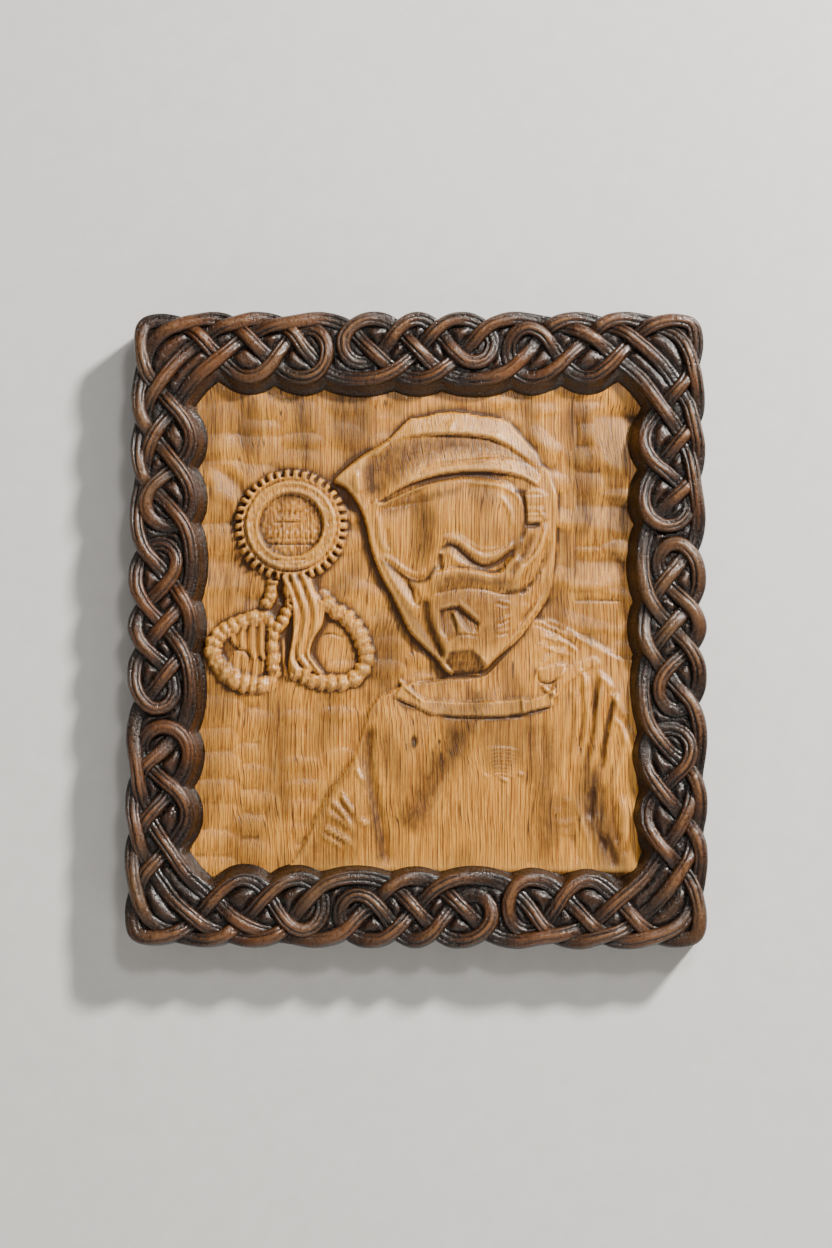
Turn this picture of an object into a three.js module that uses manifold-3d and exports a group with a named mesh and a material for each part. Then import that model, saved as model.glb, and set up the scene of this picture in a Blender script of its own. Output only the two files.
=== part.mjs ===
// Relief wall plaque: a knotwork frame carved from one blank of dark wood, round a carved oak panel.
// Millimetres, +Z up, the front faces -Y, and the flat back lies on the wall plane y = 0.

import * as THREE from 'three';
import { mergeVertices } from 'three/addons/utils/BufferGeometryUtils.js';
import Module from 'manifold-3d';

const wasm = await Module();
wasm.setup();

// Overall sizes
const plaqueWidth = 380;
const plaqueHeight = 420;
const frameDepth = 36;

// Knotwork band, strands and the ground between them
const stileWidth = 46.5;
const railHeight = 50.5;
const strandWidth = 9;
const strandRise = 6;
const strandDip = 3;
const strandBury = 1.5;
const groundLip = 0.5;

// Opening and the seat of the panel
const flankRun = 5.5;
const panelSetback = 14;
const seatWidth = 11.5;
const seatCornerCut = 17;
const seatClearance = 0.3;

// Carving on the panel: heights above its flat ground, and the figure's scale
const figureHeight = 303;
const bodyRise = 2.4;
const sleeveRise = 3.6;
const collarRise = 4.2;
const headRise = 5.4;
const maskRise = 6.6;
const goggleRise = 7.4;
const visorRise = 8.4;
const crownRise = 7;
const guardRise = 8;
const wheelRise = 4.2;
const wheelRimRise = 5.8;
const strokeRise = 0.8;
const chainRise = 4;
const chainBandRise = 2.4;
const ribbonRise = 5.4;
const plateBevel = 1;
const plateEmbed = 3;

// The strands' middle lines are drawn in a square, in a band `drawnBand` wide, and then laid onto the
// plaque; within `drawnCorner` of an edge the band keeps its own scale
const drawnBand = 37.3;
const drawnCorner = 60;

// One octant of the knot, [along the side from its middle, in from the outermost middle line]
const edgeStrand = [
  [0, 37.2], [10, 35.2], [19.5, 29], [34.5, 16], [47, 4.6], [63, 0], [82, 2.2], [101, 5.6],
  [116, 12.2], [130, 23.2], [148.3, 37.7],
];
const hookStrand = [
  [0, 0], [9.5, 3.6], [17, 11.6], [24, 20], [32.5, 26.2], [41.5, 26.6], [48, 21], [49, 12.5],
  [43.5, 5], [36, 1], [29.5, 0], [22, 0.9], [13, 6.2], [0, 19],
];
const crossStrand = [
  [0, 19], [14, 31.4], [26, 36.3], [42, 37.4], [57.5, 33.7], [72, 21.8], [85, 6.6], [96, 1.2],
  [108, 0], [119, 2.4], [133, 6.2], [144, 13], [160, 26],
];
const cornerStrand = [
  [174.2, 11.8], [169.4, 8.2], [163, 5.2], [156, 3.1], [147, 1.2], [138, 0], [127, 1.4],
  [117, 7.2], [105.2, 18], [92, 30], [84, 35], [74, 36.6], [65.5, 33], [60.6, 25], [60.6, 15.5],
  [65.5, 8.2], [73, 5.8], [82, 9.2], [90, 18.5], [98, 29.5], [106.5, 35.3], [116, 35.5],
  [126, 29.2], [138, 17.5], [149, 7.4], [160, 2.7], [172, 1.1], [182.2, 3.8],
];

// The octant's strands end on the square's diagonal, so an end's two measures add up to its half side
const [endAlong, endInward] = cornerStrand.at(-1);
const drawnHalf = endAlong + endInward;

// Outlines of the carving, [x, z] from the plaque's middle, for a figure of the drawn height
const drawnFigureHeight = 303;
const headOutline = [
  [-55, 97], [-38, 113], [-20, 124], [-5, 138], [16, 143], [40, 141], [58, 137], [72, 123], [82, 108],
  [90, 96], [92, 80], [90, 45], [86, 20], [72, -2], [52, -21], [44, -29], [22, -29], [4, -13],
  [-12, 10], [-25, 37], [-33, 65], [-41, 85],
];
const crownOutline = [
  [-38, 113], [-20, 124], [-5, 138], [16, 143], [40, 141], [58, 137], [72, 123], [82, 108],
  [60, 120], [48, 126], [18, 128], [-10, 126],
];
const visorOutline = [
  [-30, 83], [-28, 114], [-10, 124], [18, 126], [48, 124], [62, 117], [81, 105], [79, 94],
  [60, 102], [30, 102], [0, 95],
];
const goggleOutline = [
  [-25, 76], [-5, 84], [15, 88], [30, 91], [60, 91], [68, 82], [70, 62], [62, 50], [45, 42],
  [36, 47], [24, 56], [15, 48], [4, 32], [-10, 36], [-22, 45],
];
const maskOutline = [
  [8, 40], [15, 49], [24, 57], [38, 46], [45, 41], [62, 49], [67, 35], [60, 20], [12, 20],
];
const guardOutline = [
  [8, 21], [33, 26], [64, 21], [61, 0], [52, -20], [44, -27], [22, -27], [14, -5],
];
const bodyOutline = [
  [-86, -166], [-66, -127], [-54, -105], [-40, -85], [-34, -65], [-30, -53], [-25, -47],
  [-10, -36], [5, -34], [44, -32], [60, -20], [72, 0], [88, 2], [105, -6], [125, -12],
  [152, -20], [152, -166],
];
const collarOutline = [
  [-14, -45], [-8, -37], [5, -47], [30, -50], [70, -48], [92, -40], [92, -50], [72, -57],
  [45, -59], [13, -58], [2, -53],
];
const leftSleeveOutline = [
  [-86, -166], [-66, -127], [-40, -85], [-34, -68], [-31, -90], [-24, -118], [-17, -166],
];
const rightSleeveOutline = [
  [112, -24], [152, -22], [152, -166], [131, -166], [110, -128], [106, -100], [112, -60],
];
const ribbonOutline = [
  [-90, 33], [-84, 18], [-83, 4], [-80, -12], [-80, -24], [-70, -29], [-63, -30], [-69, -18],
  [-67, -8], [-61, 2], [-62, 12], [-68, 24], [-75, 33],
];
const leftLoopPath = [
  [-101, 5], [-114, 2], [-126, -4], [-133, -13], [-130, -24], [-122, -33], [-110, -37], [-99, -36],
];
const rightLoopPath = [
  [-62, 20], [-54, 10], [-44, 2], [-37, -8], [-34, -18], [-38, -29], [-48, -35], [-60, -36],
  [-72, -32], [-82, -31],
];
const middleChainPath = [[-98, 27], [-91, 17], [-86, 6], [-94, -7], [-94, -20], [-93, -30]];

// Chain: a low band with rough lumps along it, each turned and swollen a little otherwise
const chainWidth = 10;
const chainBandWidth = 8;
const lumpPitch = 10;
const lumpTurn = 1.1;
const lumpSwell = 0.14;

// Toothed wheel, and the shallow strokes on its face: [left, right, height] of each line's middle
const wheelCentre = [-83.5, 67.5];
const wheelTipRadius = 37.5;
const wheelRootRadius = 33.5;
const wheelRimRadius = 30;
const wheelFaceRadius = 21.5;
const wheelTeeth = 38;
const strokeLines = [[-10, 7, 2.5], [-16, 15, -12], [-11, 11, -19]];
const strokeThickness = 1.4;
const blockCount = 4;
const blockPitch = 8;
const blockWidth = 5;
const blockHeight = 7;
const blockRowHeight = -6;

// Fineness of the strands' samples, of their stations and of the scalloped outlines
const sampleSpacing = 1;
const stationTurn = THREE.MathUtils.degToRad(31);
const stationDrop = 2.2;
const stationGap = 30;
const outlinePoints = 168;
const rayTolerance = 0.02;
const spaceProbe = 1.5;

// How far a cutting solid runs past the face that it opens
const cutPast = 5;

// Levels along Y, measured forward from the wall
const groundLevel = frameDepth - strandRise;
const panelLevel = frameDepth - panelSetback;

// From a strand's middle line to the edge of the band
const bandMargin = strandWidth / 2 + groundLip;

// Solids

function solidFrom(geometry) {
  const bare = new THREE.BufferGeometry();
  bare.setAttribute('position', geometry.getAttribute('position').clone());
  if (geometry.index) bare.setIndex(geometry.index.clone());
  const merged = mergeVertices(bare, 1e-4);
  return new wasm.Manifold(new wasm.Mesh({
    numProp: 3,
    vertProperties: new Float32Array(merged.getAttribute('position').array),
    triVerts: new Uint32Array(merged.index.array),
  }));
}

function geometryFrom(solid) {
  const mesh = solid.getMesh();
  const geometry = new THREE.BufferGeometry();
  geometry.setAttribute('position', new THREE.BufferAttribute(new Float32Array(mesh.vertProperties), 3));
  geometry.setIndex(new THREE.BufferAttribute(new Uint32Array(mesh.triVerts), 1));
  geometry.computeVertexNormals();
  return geometry;
}

function joined(solids) {
  return solids.reduce((sum, solid) => sum.add(solid));
}

// A closed skin over cross sections with equally many points; `capOf` gives an end section's triangles
function loft(sections, capOf) {
  const count = sections[0].length;
  const index = [];
  for (let s = 0; s + 1 < sections.length; s += 1) {
    for (let i = 0; i < count; i += 1) {
      const a = s * count + i;
      const b = s * count + ((i + 1) % count);
      index.push(a, b, b + count, a, b + count, a + count);
    }
  }
  const shift = (sections.length - 1) * count;
  capOf(sections[0]).forEach(([a, b, c]) => index.push(c, b, a));
  capOf(sections.at(-1)).forEach(([a, b, c]) => index.push(shift + a, shift + b, shift + c));
  const geometry = new THREE.BufferGeometry();
  geometry.setAttribute('position', new THREE.Float32BufferAttribute(sections.flat(2), 3));
  geometry.setIndex(index);
  return solidFrom(geometry);
}

// End triangles of a section that lies flat in X and Z, and of one that stands across a path
function flatCap(section) {
  return THREE.ShapeUtils.triangulateShape(section.map(([x, , z]) => new THREE.Vector2(x, z)), []);
}

function fanCap(section) {
  return section.slice(2).map((point, k) => [0, k + 1, k + 2]);
}

// Outlines [x, z], one for each level, joined from level to level
function prism(outlines, levels) {
  const sections = levels.map((level, k) => outlines[k].map(([x, z]) => [x, -level, z]));
  return loft(sections, flatCap);
}

// Knot

// Stretches the drawn square to the plaque: the band and corners follow the band's own width
function stretch(value, half, band) {
  const scale = (band - 2 * bandMargin) / drawnBand;
  const outermost = half - bandMargin;
  const edge = drawnHalf - Math.abs(value);
  if (edge < drawnCorner) return Math.sign(value) * (outermost - edge * scale);
  return value * (outermost - drawnCorner * scale) / (drawnHalf - drawnCorner);
}

// A point of the octant as it lies on one of the four sides, `hand` -1 for the mirrored half
function onSide(side, hand, [along, inward]) {
  const angle = side * Math.PI / 2;
  const x = hand * along;
  const z = drawnHalf - inward;
  const turnedX = x * Math.cos(angle) + z * Math.sin(angle);
  const turnedZ = z * Math.cos(angle) - x * Math.sin(angle);
  return [
    stretch(turnedX, plaqueWidth / 2, stileWidth),
    stretch(turnedZ, plaqueHeight / 2, railHeight),
  ];
}

const forward = (side, hand, strand) => strand.map((point) => onSide(side, hand, point));
const backward = (side, hand, strand) => forward(side, hand, strand).reverse();

// The closed strands, each a ring of points: one along the edges, one with the hooks, one per corner
function strandRings() {
  const sides = [0, 1, 2, 3];
  const edgeRing = sides.flatMap((side) => [
    ...backward(side, -1, edgeStrand), ...forward(side, 1, edgeStrand),
  ]);
  const hookRing = sides.flatMap((side) => [
    ...backward(side, -1, crossStrand), ...backward(side, 1, hookStrand),
    ...forward(side, -1, hookStrand), ...forward(side, 1, crossStrand),
  ]);
  const cornerRings = sides.map((side) => [
    ...forward(side, 1, cornerStrand), ...backward((side + 1) % 4, -1, cornerStrand),
  ]);
  return [edgeRing, hookRing, ...cornerRings].map(withoutRepeats);
}

function withoutRepeats(ring) {
  return ring.filter(([x, z], i) => {
    const [px, pz] = ring[(i + ring.length - 1) % ring.length];
    return Math.hypot(x - px, z - pz) > 0.01;
  });
}

// Evenly spaced points along the smooth curve through a ring
function sampled(ring, spacing) {
  const curve = new THREE.CatmullRomCurve3(ring.map(([x, z]) => new THREE.Vector3(x, 0, z)), true);
  curve.arcLengthDivisions = ring.length * 24;
  const count = Math.round(curve.getLength() / spacing);
  return curve.getSpacedPoints(count).slice(0, count).map((p) => [p.x, p.z]);
}

// Where segment a-b meets segment c-d, as the share of a-b, or null
function meeting([ax, az], [bx, bz], [cx, cz], [dx, dz]) {
  const cross = (bx - ax) * (dz - cz) - (bz - az) * (dx - cx);
  if (Math.abs(cross) < 1e-12) return null;
  const t = ((cx - ax) * (dz - cz) - (cz - az) * (dx - cx)) / cross;
  const u = ((cx - ax) * (bz - az) - (cz - az) * (bx - ax)) / cross;
  return t >= 0 && t < 1 && u >= 0 && u < 1 ? t : null;
}

// Crossings of all rings: for each ring a list of {at, under} along its samples
function findCrossings(rings) {
  const segments = rings.flatMap((ring, r) => ring.map((a, i) => ({
    r, i, a, b: ring[(i + 1) % ring.length],
  })));
  const reach = 2 * sampleSpacing;
  const found = rings.map(() => []);
  segments.forEach((one, m) => {
    for (let n = m + 1; n < segments.length; n += 1) {
      const two = segments[n];
      if (Math.abs(one.a[0] - two.a[0]) > reach || Math.abs(one.a[1] - two.a[1]) > reach) continue;
      const gap = Math.abs(one.i - two.i);
      const length = rings[one.r].length;
      if (one.r === two.r && Math.min(gap, length - gap) < 3) continue;
      const t = meeting(one.a, one.b, two.a, two.b);
      if (t === null) continue;
      const u = meeting(two.a, two.b, one.a, one.b);
      const oneOver = liesOver(one, two, t, segments);
      found[one.r].push({ at: one.i + t, under: !oneOver });
      found[two.r].push({ at: two.i + u, under: oneOver });
    }
  });
  found.forEach((list) => list.sort((p, q) => p.at - q.at));
  return found;
}

// The spaces between the strands are dark and light by turns, as on a chessboard, and the space round
// the knot is dark. Segment one lies over segment two where the space on its left, just past their
// meeting, is dark. So every strand goes over and under by turns.
function liesOver(one, two, t, segments) {
  const ox = one.b[0] - one.a[0];
  const oz = one.b[1] - one.a[1];
  const tx = two.b[0] - two.a[0];
  const tz = two.b[1] - two.a[1];
  const left = Math.sign(ox * tz - oz * tx);
  const oneStep = spaceProbe / Math.hypot(ox, oz);
  const twoStep = (left * spaceProbe) / Math.hypot(tx, tz);
  const inSpace = [
    one.a[0] + ox * (t + oneStep) + tx * twoStep,
    one.a[1] + oz * (t + oneStep) + tz * twoStep,
  ];
  const farAway = [3 * plaqueWidth, plaqueHeight];
  const hits = segments.filter((segment) => meeting(inSpace, farAway, segment.a, segment.b) !== null);
  return hits.length % 2 === 0;
}

// How far a strand lies below its highest level at sample `at`: 0 over, `strandDip` under
function dipAt(at, crossings, count) {
  const last = crossings.length - 1;
  let k = crossings.findIndex((c) => c.at > at);
  if (k < 0) k = 0;
  const next = crossings[k];
  const before = crossings[k === 0 ? last : k - 1];
  const span = (next.at - before.at + count) % count || count;
  const share = ((at - before.at + count) % count) / span;
  const eased = THREE.MathUtils.smoothstep(share, 0.2, 0.8);
  const from = before.under ? strandDip : 0;
  const to = next.under ? strandDip : 0;
  return THREE.MathUtils.lerp(from, to, eased);
}

// Stations of one strand piece: few where it runs straight and level, more where it bends or dips
function thinned(stations) {
  const kept = [stations[0]];
  for (let i = 1; i + 1 < stations.length; i += 1) {
    const last = kept.at(-1);
    const here = stations[i];
    const turned = Math.abs(Math.atan2(
      last.tx * here.tz - last.tz * here.tx, last.tx * here.tx + last.tz * here.tz,
    ));
    const moved = Math.hypot(here.x - last.x, here.z - last.z);
    if (turned > stationTurn || Math.abs(here.dip - last.dip) > stationDrop || moved > stationGap) {
      kept.push(here);
    }
  }
  kept.push(stations.at(-1));
  return kept;
}

function strandSection({ x, z, tx, tz, dip }) {
  const half = strandWidth / 2;
  const crest = frameDepth - dip;
  const profile = [
    [-half, groundLevel - strandBury], [0, crest], [half, groundLevel - strandBury],
  ];
  return profile.map(([across, level]) => [x + tz * across, -level, z - tx * across]);
}

// A strand is laid in pieces that each run from one crossing where it lies under to the next
function strandPieces(ring, crossings) {
  const count = ring.length;
  const unders = crossings.filter((c) => c.under).map((c) => Math.round(c.at));
  return unders.map((start, k) => {
    const end = k + 1 < unders.length ? unders[k + 1] : unders[0] + count;
    const stations = [];
    for (let i = start; i <= end; i += 1) {
      const [ax, az] = ring[(i + count - 1) % count];
      const [x, z] = ring[i % count];
      const [bx, bz] = ring[(i + 1) % count];
      const length = Math.hypot(bx - ax, bz - az);
      stations.push({
        x, z, tx: (bx - ax) / length, tz: (bz - az) / length, dip: dipAt(i % count, crossings, count),
      });
    }
    return loft(thinned(stations).map(strandSection), fanCap);
  });
}

// Outline of everything within `margin` of a strand's middle line, seen from outside or inside
function knotOutline(points, margin, fromOutside) {
  const start = fromOutside ? Math.hypot(plaqueWidth, plaqueHeight) : 0;
  return Array.from({ length: outlinePoints }, (_, k) => {
    const angle = (2 * Math.PI * k) / outlinePoints;
    const dx = Math.cos(angle);
    const dz = Math.sin(angle);
    let reach = start;
    let spare = Infinity;
    while (spare > rayTolerance) {
      const gaps = points.map(([x, z]) => Math.hypot(x - dx * reach, z - dz * reach));
      spare = Math.min(...gaps) - margin;
      reach += fromOutside ? -spare : spare;
    }
    return [dx * reach, dz * reach];
  });
}

// The board's outline: a rectangle with cut corners, `spare` larger all round
function boardOutline(spare) {
  const x = plaqueWidth / 2 - stileWidth + seatWidth + spare;
  const z = plaqueHeight / 2 - railHeight + seatWidth + spare;
  const cut = seatCornerCut + spare * (2 - Math.SQRT2);
  return [
    [x, -z + cut], [x, z - cut], [x - cut, z], [-x + cut, z],
    [-x, z - cut], [-x, -z + cut], [-x + cut, -z], [x - cut, -z],
  ];
}

const rings = strandRings().map((ring) => sampled(ring, sampleSpacing));
const crossings = findCrossings(rings);
const strandPoints = rings.flat();
const outerOutline = knotOutline(strandPoints, bandMargin, true);
const rimOutline = knotOutline(strandPoints, bandMargin, false);
const footOutline = knotOutline(strandPoints, bandMargin + flankRun, false);

function knotworkFrame() {
  const blank = prism([outerOutline, outerOutline], [0, groundLevel]);
  const strands = rings.flatMap((ring, r) => strandPieces(ring, crossings[r]));
  const opening = prism(
    [footOutline, footOutline, rimOutline, rimOutline],
    [-cutPast, panelLevel, groundLevel, frameDepth + cutPast],
  );
  const seat = prism(
    [boardOutline(seatClearance), boardOutline(seatClearance)],
    [-cutPast, panelLevel + seatClearance],
  );
  return joined([blank, ...strands]).subtract(opening).subtract(seat);
}

// Carved panel

const figureScale = figureHeight / drawnFigureHeight;

function scaled(outline) {
  return outline.map(([x, z]) => new THREE.Vector2(x * figureScale, z * figureScale));
}

// A raised area with a small bevel round its top, set into the board, and perhaps with a hole
function plate(outline, rise, bevel = plateBevel, hole = null) {
  const shape = new THREE.Shape(scaled(outline));
  if (hole) shape.holes.push(new THREE.Path(scaled(hole)));
  const geometry = new THREE.ExtrudeGeometry(shape, {
    depth: rise + plateEmbed - 2 * bevel,
    bevelEnabled: true,
    bevelThickness: bevel,
    bevelSize: bevel,
    bevelOffset: -bevel,
    bevelSegments: 1,
  });
  geometry.translate(0, 0, bevel);
  geometry.rotateX(Math.PI / 2);
  geometry.translate(0, -(panelLevel - plateEmbed), 0);
  return solidFrom(geometry);
}

function circleOutline([x, z], radius, count) {
  return Array.from({ length: count }, (_, k) => {
    const angle = (2 * Math.PI * k) / count;
    return [x + radius * Math.cos(angle), z + radius * Math.sin(angle)];
  });
}

function toothedOutline([x, z]) {
  return Array.from({ length: 2 * wheelTeeth }, (_, k) => {
    const angle = (Math.PI * k) / wheelTeeth;
    const radius = k % 2 === 0 ? wheelTipRadius : wheelRootRadius;
    return [x + radius * Math.cos(angle), z + radius * Math.sin(angle)];
  });
}

// A rectangle on the wheel's face, placed from the wheel's middle
function faceRectangle(left, right, middle, thickness) {
  const [x, z] = wheelCentre;
  const low = z + middle - thickness / 2;
  const high = z + middle + thickness / 2;
  return [[x + left, low], [x + right, low], [x + right, high], [x + left, high]];
}

function toothedWheel() {
  const face = circleOutline(wheelCentre, wheelFaceRadius, 32);
  const rim = plate(circleOutline(wheelCentre, wheelRimRadius, 40), wheelRimRise, plateBevel, face);
  const lines = strokeLines.map(([left, right, z]) => faceRectangle(left, right, z, strokeThickness));
  const blocks = Array.from({ length: blockCount }, (_, k) => {
    const middle = (k - (blockCount - 1) / 2) * blockPitch;
    return faceRectangle(middle - blockWidth / 2, middle + blockWidth / 2, blockRowHeight, blockHeight);
  });
  const strokes = [...lines, ...blocks].map((outline) => plate(outline, wheelRise + strokeRise, 0));
  return joined([plate(toothedOutline(wheelCentre), wheelRise, 0), rim, ...strokes]);
}

function chain(path) {
  const curve = new THREE.CatmullRomCurve3(scaled(path).map((p) => new THREE.Vector3(p.x, 0, p.y)));
  const count = Math.round(curve.getLength() / (lumpPitch * figureScale));
  const half = (chainBandWidth * figureScale) / 2;
  const sections = Array.from({ length: count + 1 }, (_, k) => {
    const at = curve.getPointAt(k / count);
    const way = curve.getTangentAt(k / count);
    const corner = (side, level) => [at.x + side * half * way.z, -level, at.z - side * half * way.x];
    return [
      corner(-1, panelLevel - plateEmbed), corner(-1, panelLevel + chainBandRise),
      corner(1, panelLevel + chainBandRise), corner(1, panelLevel - plateEmbed),
    ];
  });
  const lumps = Array.from({ length: count }, (_, k) => {
    const at = curve.getPointAt((k + 0.5) / count);
    const swell = 1 + lumpSwell * Math.sin(2 * lumpTurn * k + at.x);
    const radius = (chainWidth * figureScale * swell) / 2;
    const lump = new THREE.IcosahedronGeometry(1);
    lump.scale(radius, chainRise, radius);
    lump.rotateY(lumpTurn * k);
    lump.translate(at.x, -panelLevel, at.z);
    return solidFrom(lump);
  });
  return joined([loft(sections, fanCap), ...lumps]);
}

function reliefPanel() {
  const board = prism([boardOutline(0), boardOutline(0)], [0, panelLevel]);
  const carving = joined([
    plate(bodyOutline, bodyRise),
    plate(leftSleeveOutline, sleeveRise),
    plate(rightSleeveOutline, sleeveRise),
    plate(collarOutline, collarRise),
    plate(headOutline, headRise),
    plate(maskOutline, maskRise),
    plate(goggleOutline, goggleRise),
    plate(crownOutline, crownRise),
    plate(visorOutline, visorRise),
    plate(guardOutline, guardRise),
    toothedWheel(),
    chain(leftLoopPath),
    chain(rightLoopPath),
    chain(middleChainPath),
    plate(ribbonOutline, ribbonRise),
  ]);
  const inset = footOutline.map(([x, z]) => {
    const reach = Math.hypot(x, z);
    return [x - seatClearance * x / reach, z - seatClearance * z / reach];
  });
  const window = prism([inset, inset], [panelLevel - 2 * plateEmbed, frameDepth]);
  return board.add(carving.intersect(window));
}

// The plaque

function sub(name, solid, material) {
  const mesh = new THREE.Mesh(geometryFrom(solid), material);
  mesh.name = name;
  return mesh;
}

const darkWalnutStain = new THREE.MeshStandardMaterial({ color: 0x6b4a33, roughness: 0.32, metalness: 0 });
const goldenOak = new THREE.MeshStandardMaterial({ color: 0xc9975a, roughness: 0.45, metalness: 0 });

const plaque = new THREE.Group();
plaque.add(sub('knotwork_frame', knotworkFrame(), darkWalnutStain));
plaque.add(sub('relief_panel', reliefPanel(), goldenOak));

export default plaque;
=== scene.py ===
"""Relief wall plaque: the carved knotwork frame and the oak panel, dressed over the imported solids.

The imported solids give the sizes. Shapes are worked out here in millimetres and made in metres.
"""
import math

import bpy
import numpy as np
from mathutils import Matrix, Vector


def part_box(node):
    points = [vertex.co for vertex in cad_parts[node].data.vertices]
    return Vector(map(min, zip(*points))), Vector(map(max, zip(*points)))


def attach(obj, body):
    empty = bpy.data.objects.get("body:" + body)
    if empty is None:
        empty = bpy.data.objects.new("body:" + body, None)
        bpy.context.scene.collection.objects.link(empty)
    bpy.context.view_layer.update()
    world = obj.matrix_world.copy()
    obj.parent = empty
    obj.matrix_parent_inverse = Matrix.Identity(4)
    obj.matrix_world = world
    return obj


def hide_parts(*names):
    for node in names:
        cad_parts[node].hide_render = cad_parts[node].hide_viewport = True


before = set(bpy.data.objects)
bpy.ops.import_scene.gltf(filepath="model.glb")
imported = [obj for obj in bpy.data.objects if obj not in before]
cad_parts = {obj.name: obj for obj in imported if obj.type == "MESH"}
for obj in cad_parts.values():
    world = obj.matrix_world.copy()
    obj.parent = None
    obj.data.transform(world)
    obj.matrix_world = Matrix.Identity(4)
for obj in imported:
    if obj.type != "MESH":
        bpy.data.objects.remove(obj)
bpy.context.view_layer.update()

MM = 0.001

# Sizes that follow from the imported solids, in mm
frame_low, frame_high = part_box("knotwork_frame")
board_low, board_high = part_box("relief_panel")
PLAQUE_WIDTH = (frame_high.x - frame_low.x) / MM
PLAQUE_HEIGHT = (frame_high.z - frame_low.z) / MM
CREST_LEVEL = -frame_low.y / MM
BOARD_WIDTH = (board_high.x - board_low.x) / MM
BOARD_HEIGHT = (board_high.z - board_low.z) / MM

# Sizes of the carving, in mm
STILE_WIDTH = 46.5
RAIL_HEIGHT = 50.5
STRAND_RISE = 6.0
STRAND_DIP = 4.4
BAND_MARGIN = 5.0
FLANK_RUN = 5.5
PANEL_LEVEL = 22.0
SEAT_CUT = 17.0
SEAT_GAP = 0.3
GROUND_LEVEL = CREST_LEVEL - STRAND_RISE
PILLOW_RISE = 3.4
GROUND_ROWS = 22
OUTLINE_RAYS = 980
STRAND_STEP = 2.0

# The carved part of the board: half its width and height, and the height above which it is flattened
CARVED_X = 147
CARVED_Z = 163
HIGHEST = 7.4

# The strands' middle lines: one octant of the knot in a square, [along the side, in from the edge]
DRAWN_HALF = 186.0
DRAWN_BAND = 37.3
DRAWN_CORNER = 60.0
EDGE_STRAND = [
    (0, 37.2), (10, 35.2), (19.5, 29), (34.5, 16), (47, 4.6), (63, 0), (82, 2.2), (101, 5.6),
    (116, 12.2), (130, 23.2), (148.3, 37.7),
]
HOOK_STRAND = [
    (0, 0), (9.5, 3.6), (17, 11.6), (24, 20), (32.5, 26.2), (41.5, 26.6), (48, 21), (49, 12.5),
    (43.5, 5), (36, 1), (29.5, 0), (22, 0.9), (13, 6.2), (0, 19),
]
CROSS_STRAND = [
    (0, 19), (14, 31.4), (26, 36.3), (42, 37.4), (57.5, 33.7), (72, 21.8), (85, 6.6), (96, 1.2),
    (108, 0), (119, 2.4), (133, 6.2), (144, 13), (160, 26),
]
CORNER_STRAND = [
    (174.2, 11.8), (169.4, 8.2), (163, 5.2), (156, 3.1), (147, 1.2), (138, 0), (127, 1.4),
    (117, 7.2), (105.2, 18), (92, 30), (84, 35), (74, 36.6), (65.5, 33), (60.6, 25), (60.6, 15.5),
    (65.5, 8.2), (73, 5.8), (82, 9.2), (90, 18.5), (98, 29.5), (106.5, 35.3), (116, 35.5),
    (126, 29.2), (138, 17.5), (149, 7.4), (160, 2.7), (172, 1.1), (182.2, 3.8),
]

# Curves and distances


def smooth_curve(points, closed=False, step=1.5):
    """Centripetal Catmull-Rom curve through the points, as a dense polyline."""
    p = np.asarray(points, float)
    if closed:
        p = np.vstack([p[-1], p, p[0], p[1]])
    else:
        p = np.vstack([2 * p[0] - p[1], p, 2 * p[-1] - p[-2]])
    parts = []
    for a, b, c, d in zip(p[:-3], p[1:-2], p[2:-1], p[3:]):
        t1 = max(np.linalg.norm(b - a) ** 0.5, 1e-3)
        t2 = t1 + max(np.linalg.norm(c - b) ** 0.5, 1e-3)
        t3 = t2 + max(np.linalg.norm(d - c) ** 0.5, 1e-3)
        count = max(1, math.ceil(np.linalg.norm(c - b) / step))
        t = np.linspace(t1, t2, count, endpoint=False)[:, None]
        ab = (t1 - t) / t1 * a + t / t1 * b
        bc = (t2 - t) / (t2 - t1) * b + (t - t1) / (t2 - t1) * c
        cd = (t3 - t) / (t3 - t2) * c + (t - t2) / (t3 - t2) * d
        abc = (t2 - t) / t2 * ab + t / t2 * bc
        bcd = (t3 - t) / (t3 - t1) * bc + (t - t1) / (t3 - t1) * cd
        parts.append((t2 - t) / (t2 - t1) * abc + (t - t1) / (t2 - t1) * bcd)
    if not closed:
        parts.append(p[-2][None])
    return np.vstack(parts)


def resampled(line, spacing):
    """A closed polyline, as evenly spaced points."""
    closed = np.vstack([line, line[:1]])
    lengths = np.concatenate([[0], np.cumsum(np.linalg.norm(np.diff(closed, axis=0), axis=1))])
    count = round(lengths[-1] / spacing)
    at = np.arange(count) * lengths[-1] / count
    return np.column_stack([np.interp(at, lengths, closed[:, k]) for k in (0, 1)])


def smoothstep(value, low, high):
    """0 up to low, 1 from high on, and a soft ramp between."""
    t = np.clip((value - low) / (high - low), 0, 1)
    return t * t * (3 - 2 * t)


def wave(x, z, seed, pitch):
    """Smooth unevenness between about -1 and 1, from a few seeded waves."""
    rng = np.random.default_rng(seed)
    total = np.zeros(np.shape(x))
    for _ in range(9):
        angle = rng.uniform(0, 2 * np.pi)
        size = pitch * rng.uniform(0.7, 1.5)
        phase = rng.uniform(0, 2 * np.pi)
        total = total + np.sin(2 * np.pi * (x * np.cos(angle) + z * np.sin(angle)) / size + phase)
    return total / 4.5


# Knot


def stretch(value, half, band):
    """From the drawn square to the plaque: the band and corners follow the band's own width."""
    scale = (band - 2 * BAND_MARGIN) / DRAWN_BAND
    outermost = half - BAND_MARGIN
    edge = DRAWN_HALF - abs(value)
    if edge < DRAWN_CORNER:
        return math.copysign(outermost - edge * scale, value)
    return value * (outermost - DRAWN_CORNER * scale) / (DRAWN_HALF - DRAWN_CORNER)


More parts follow.
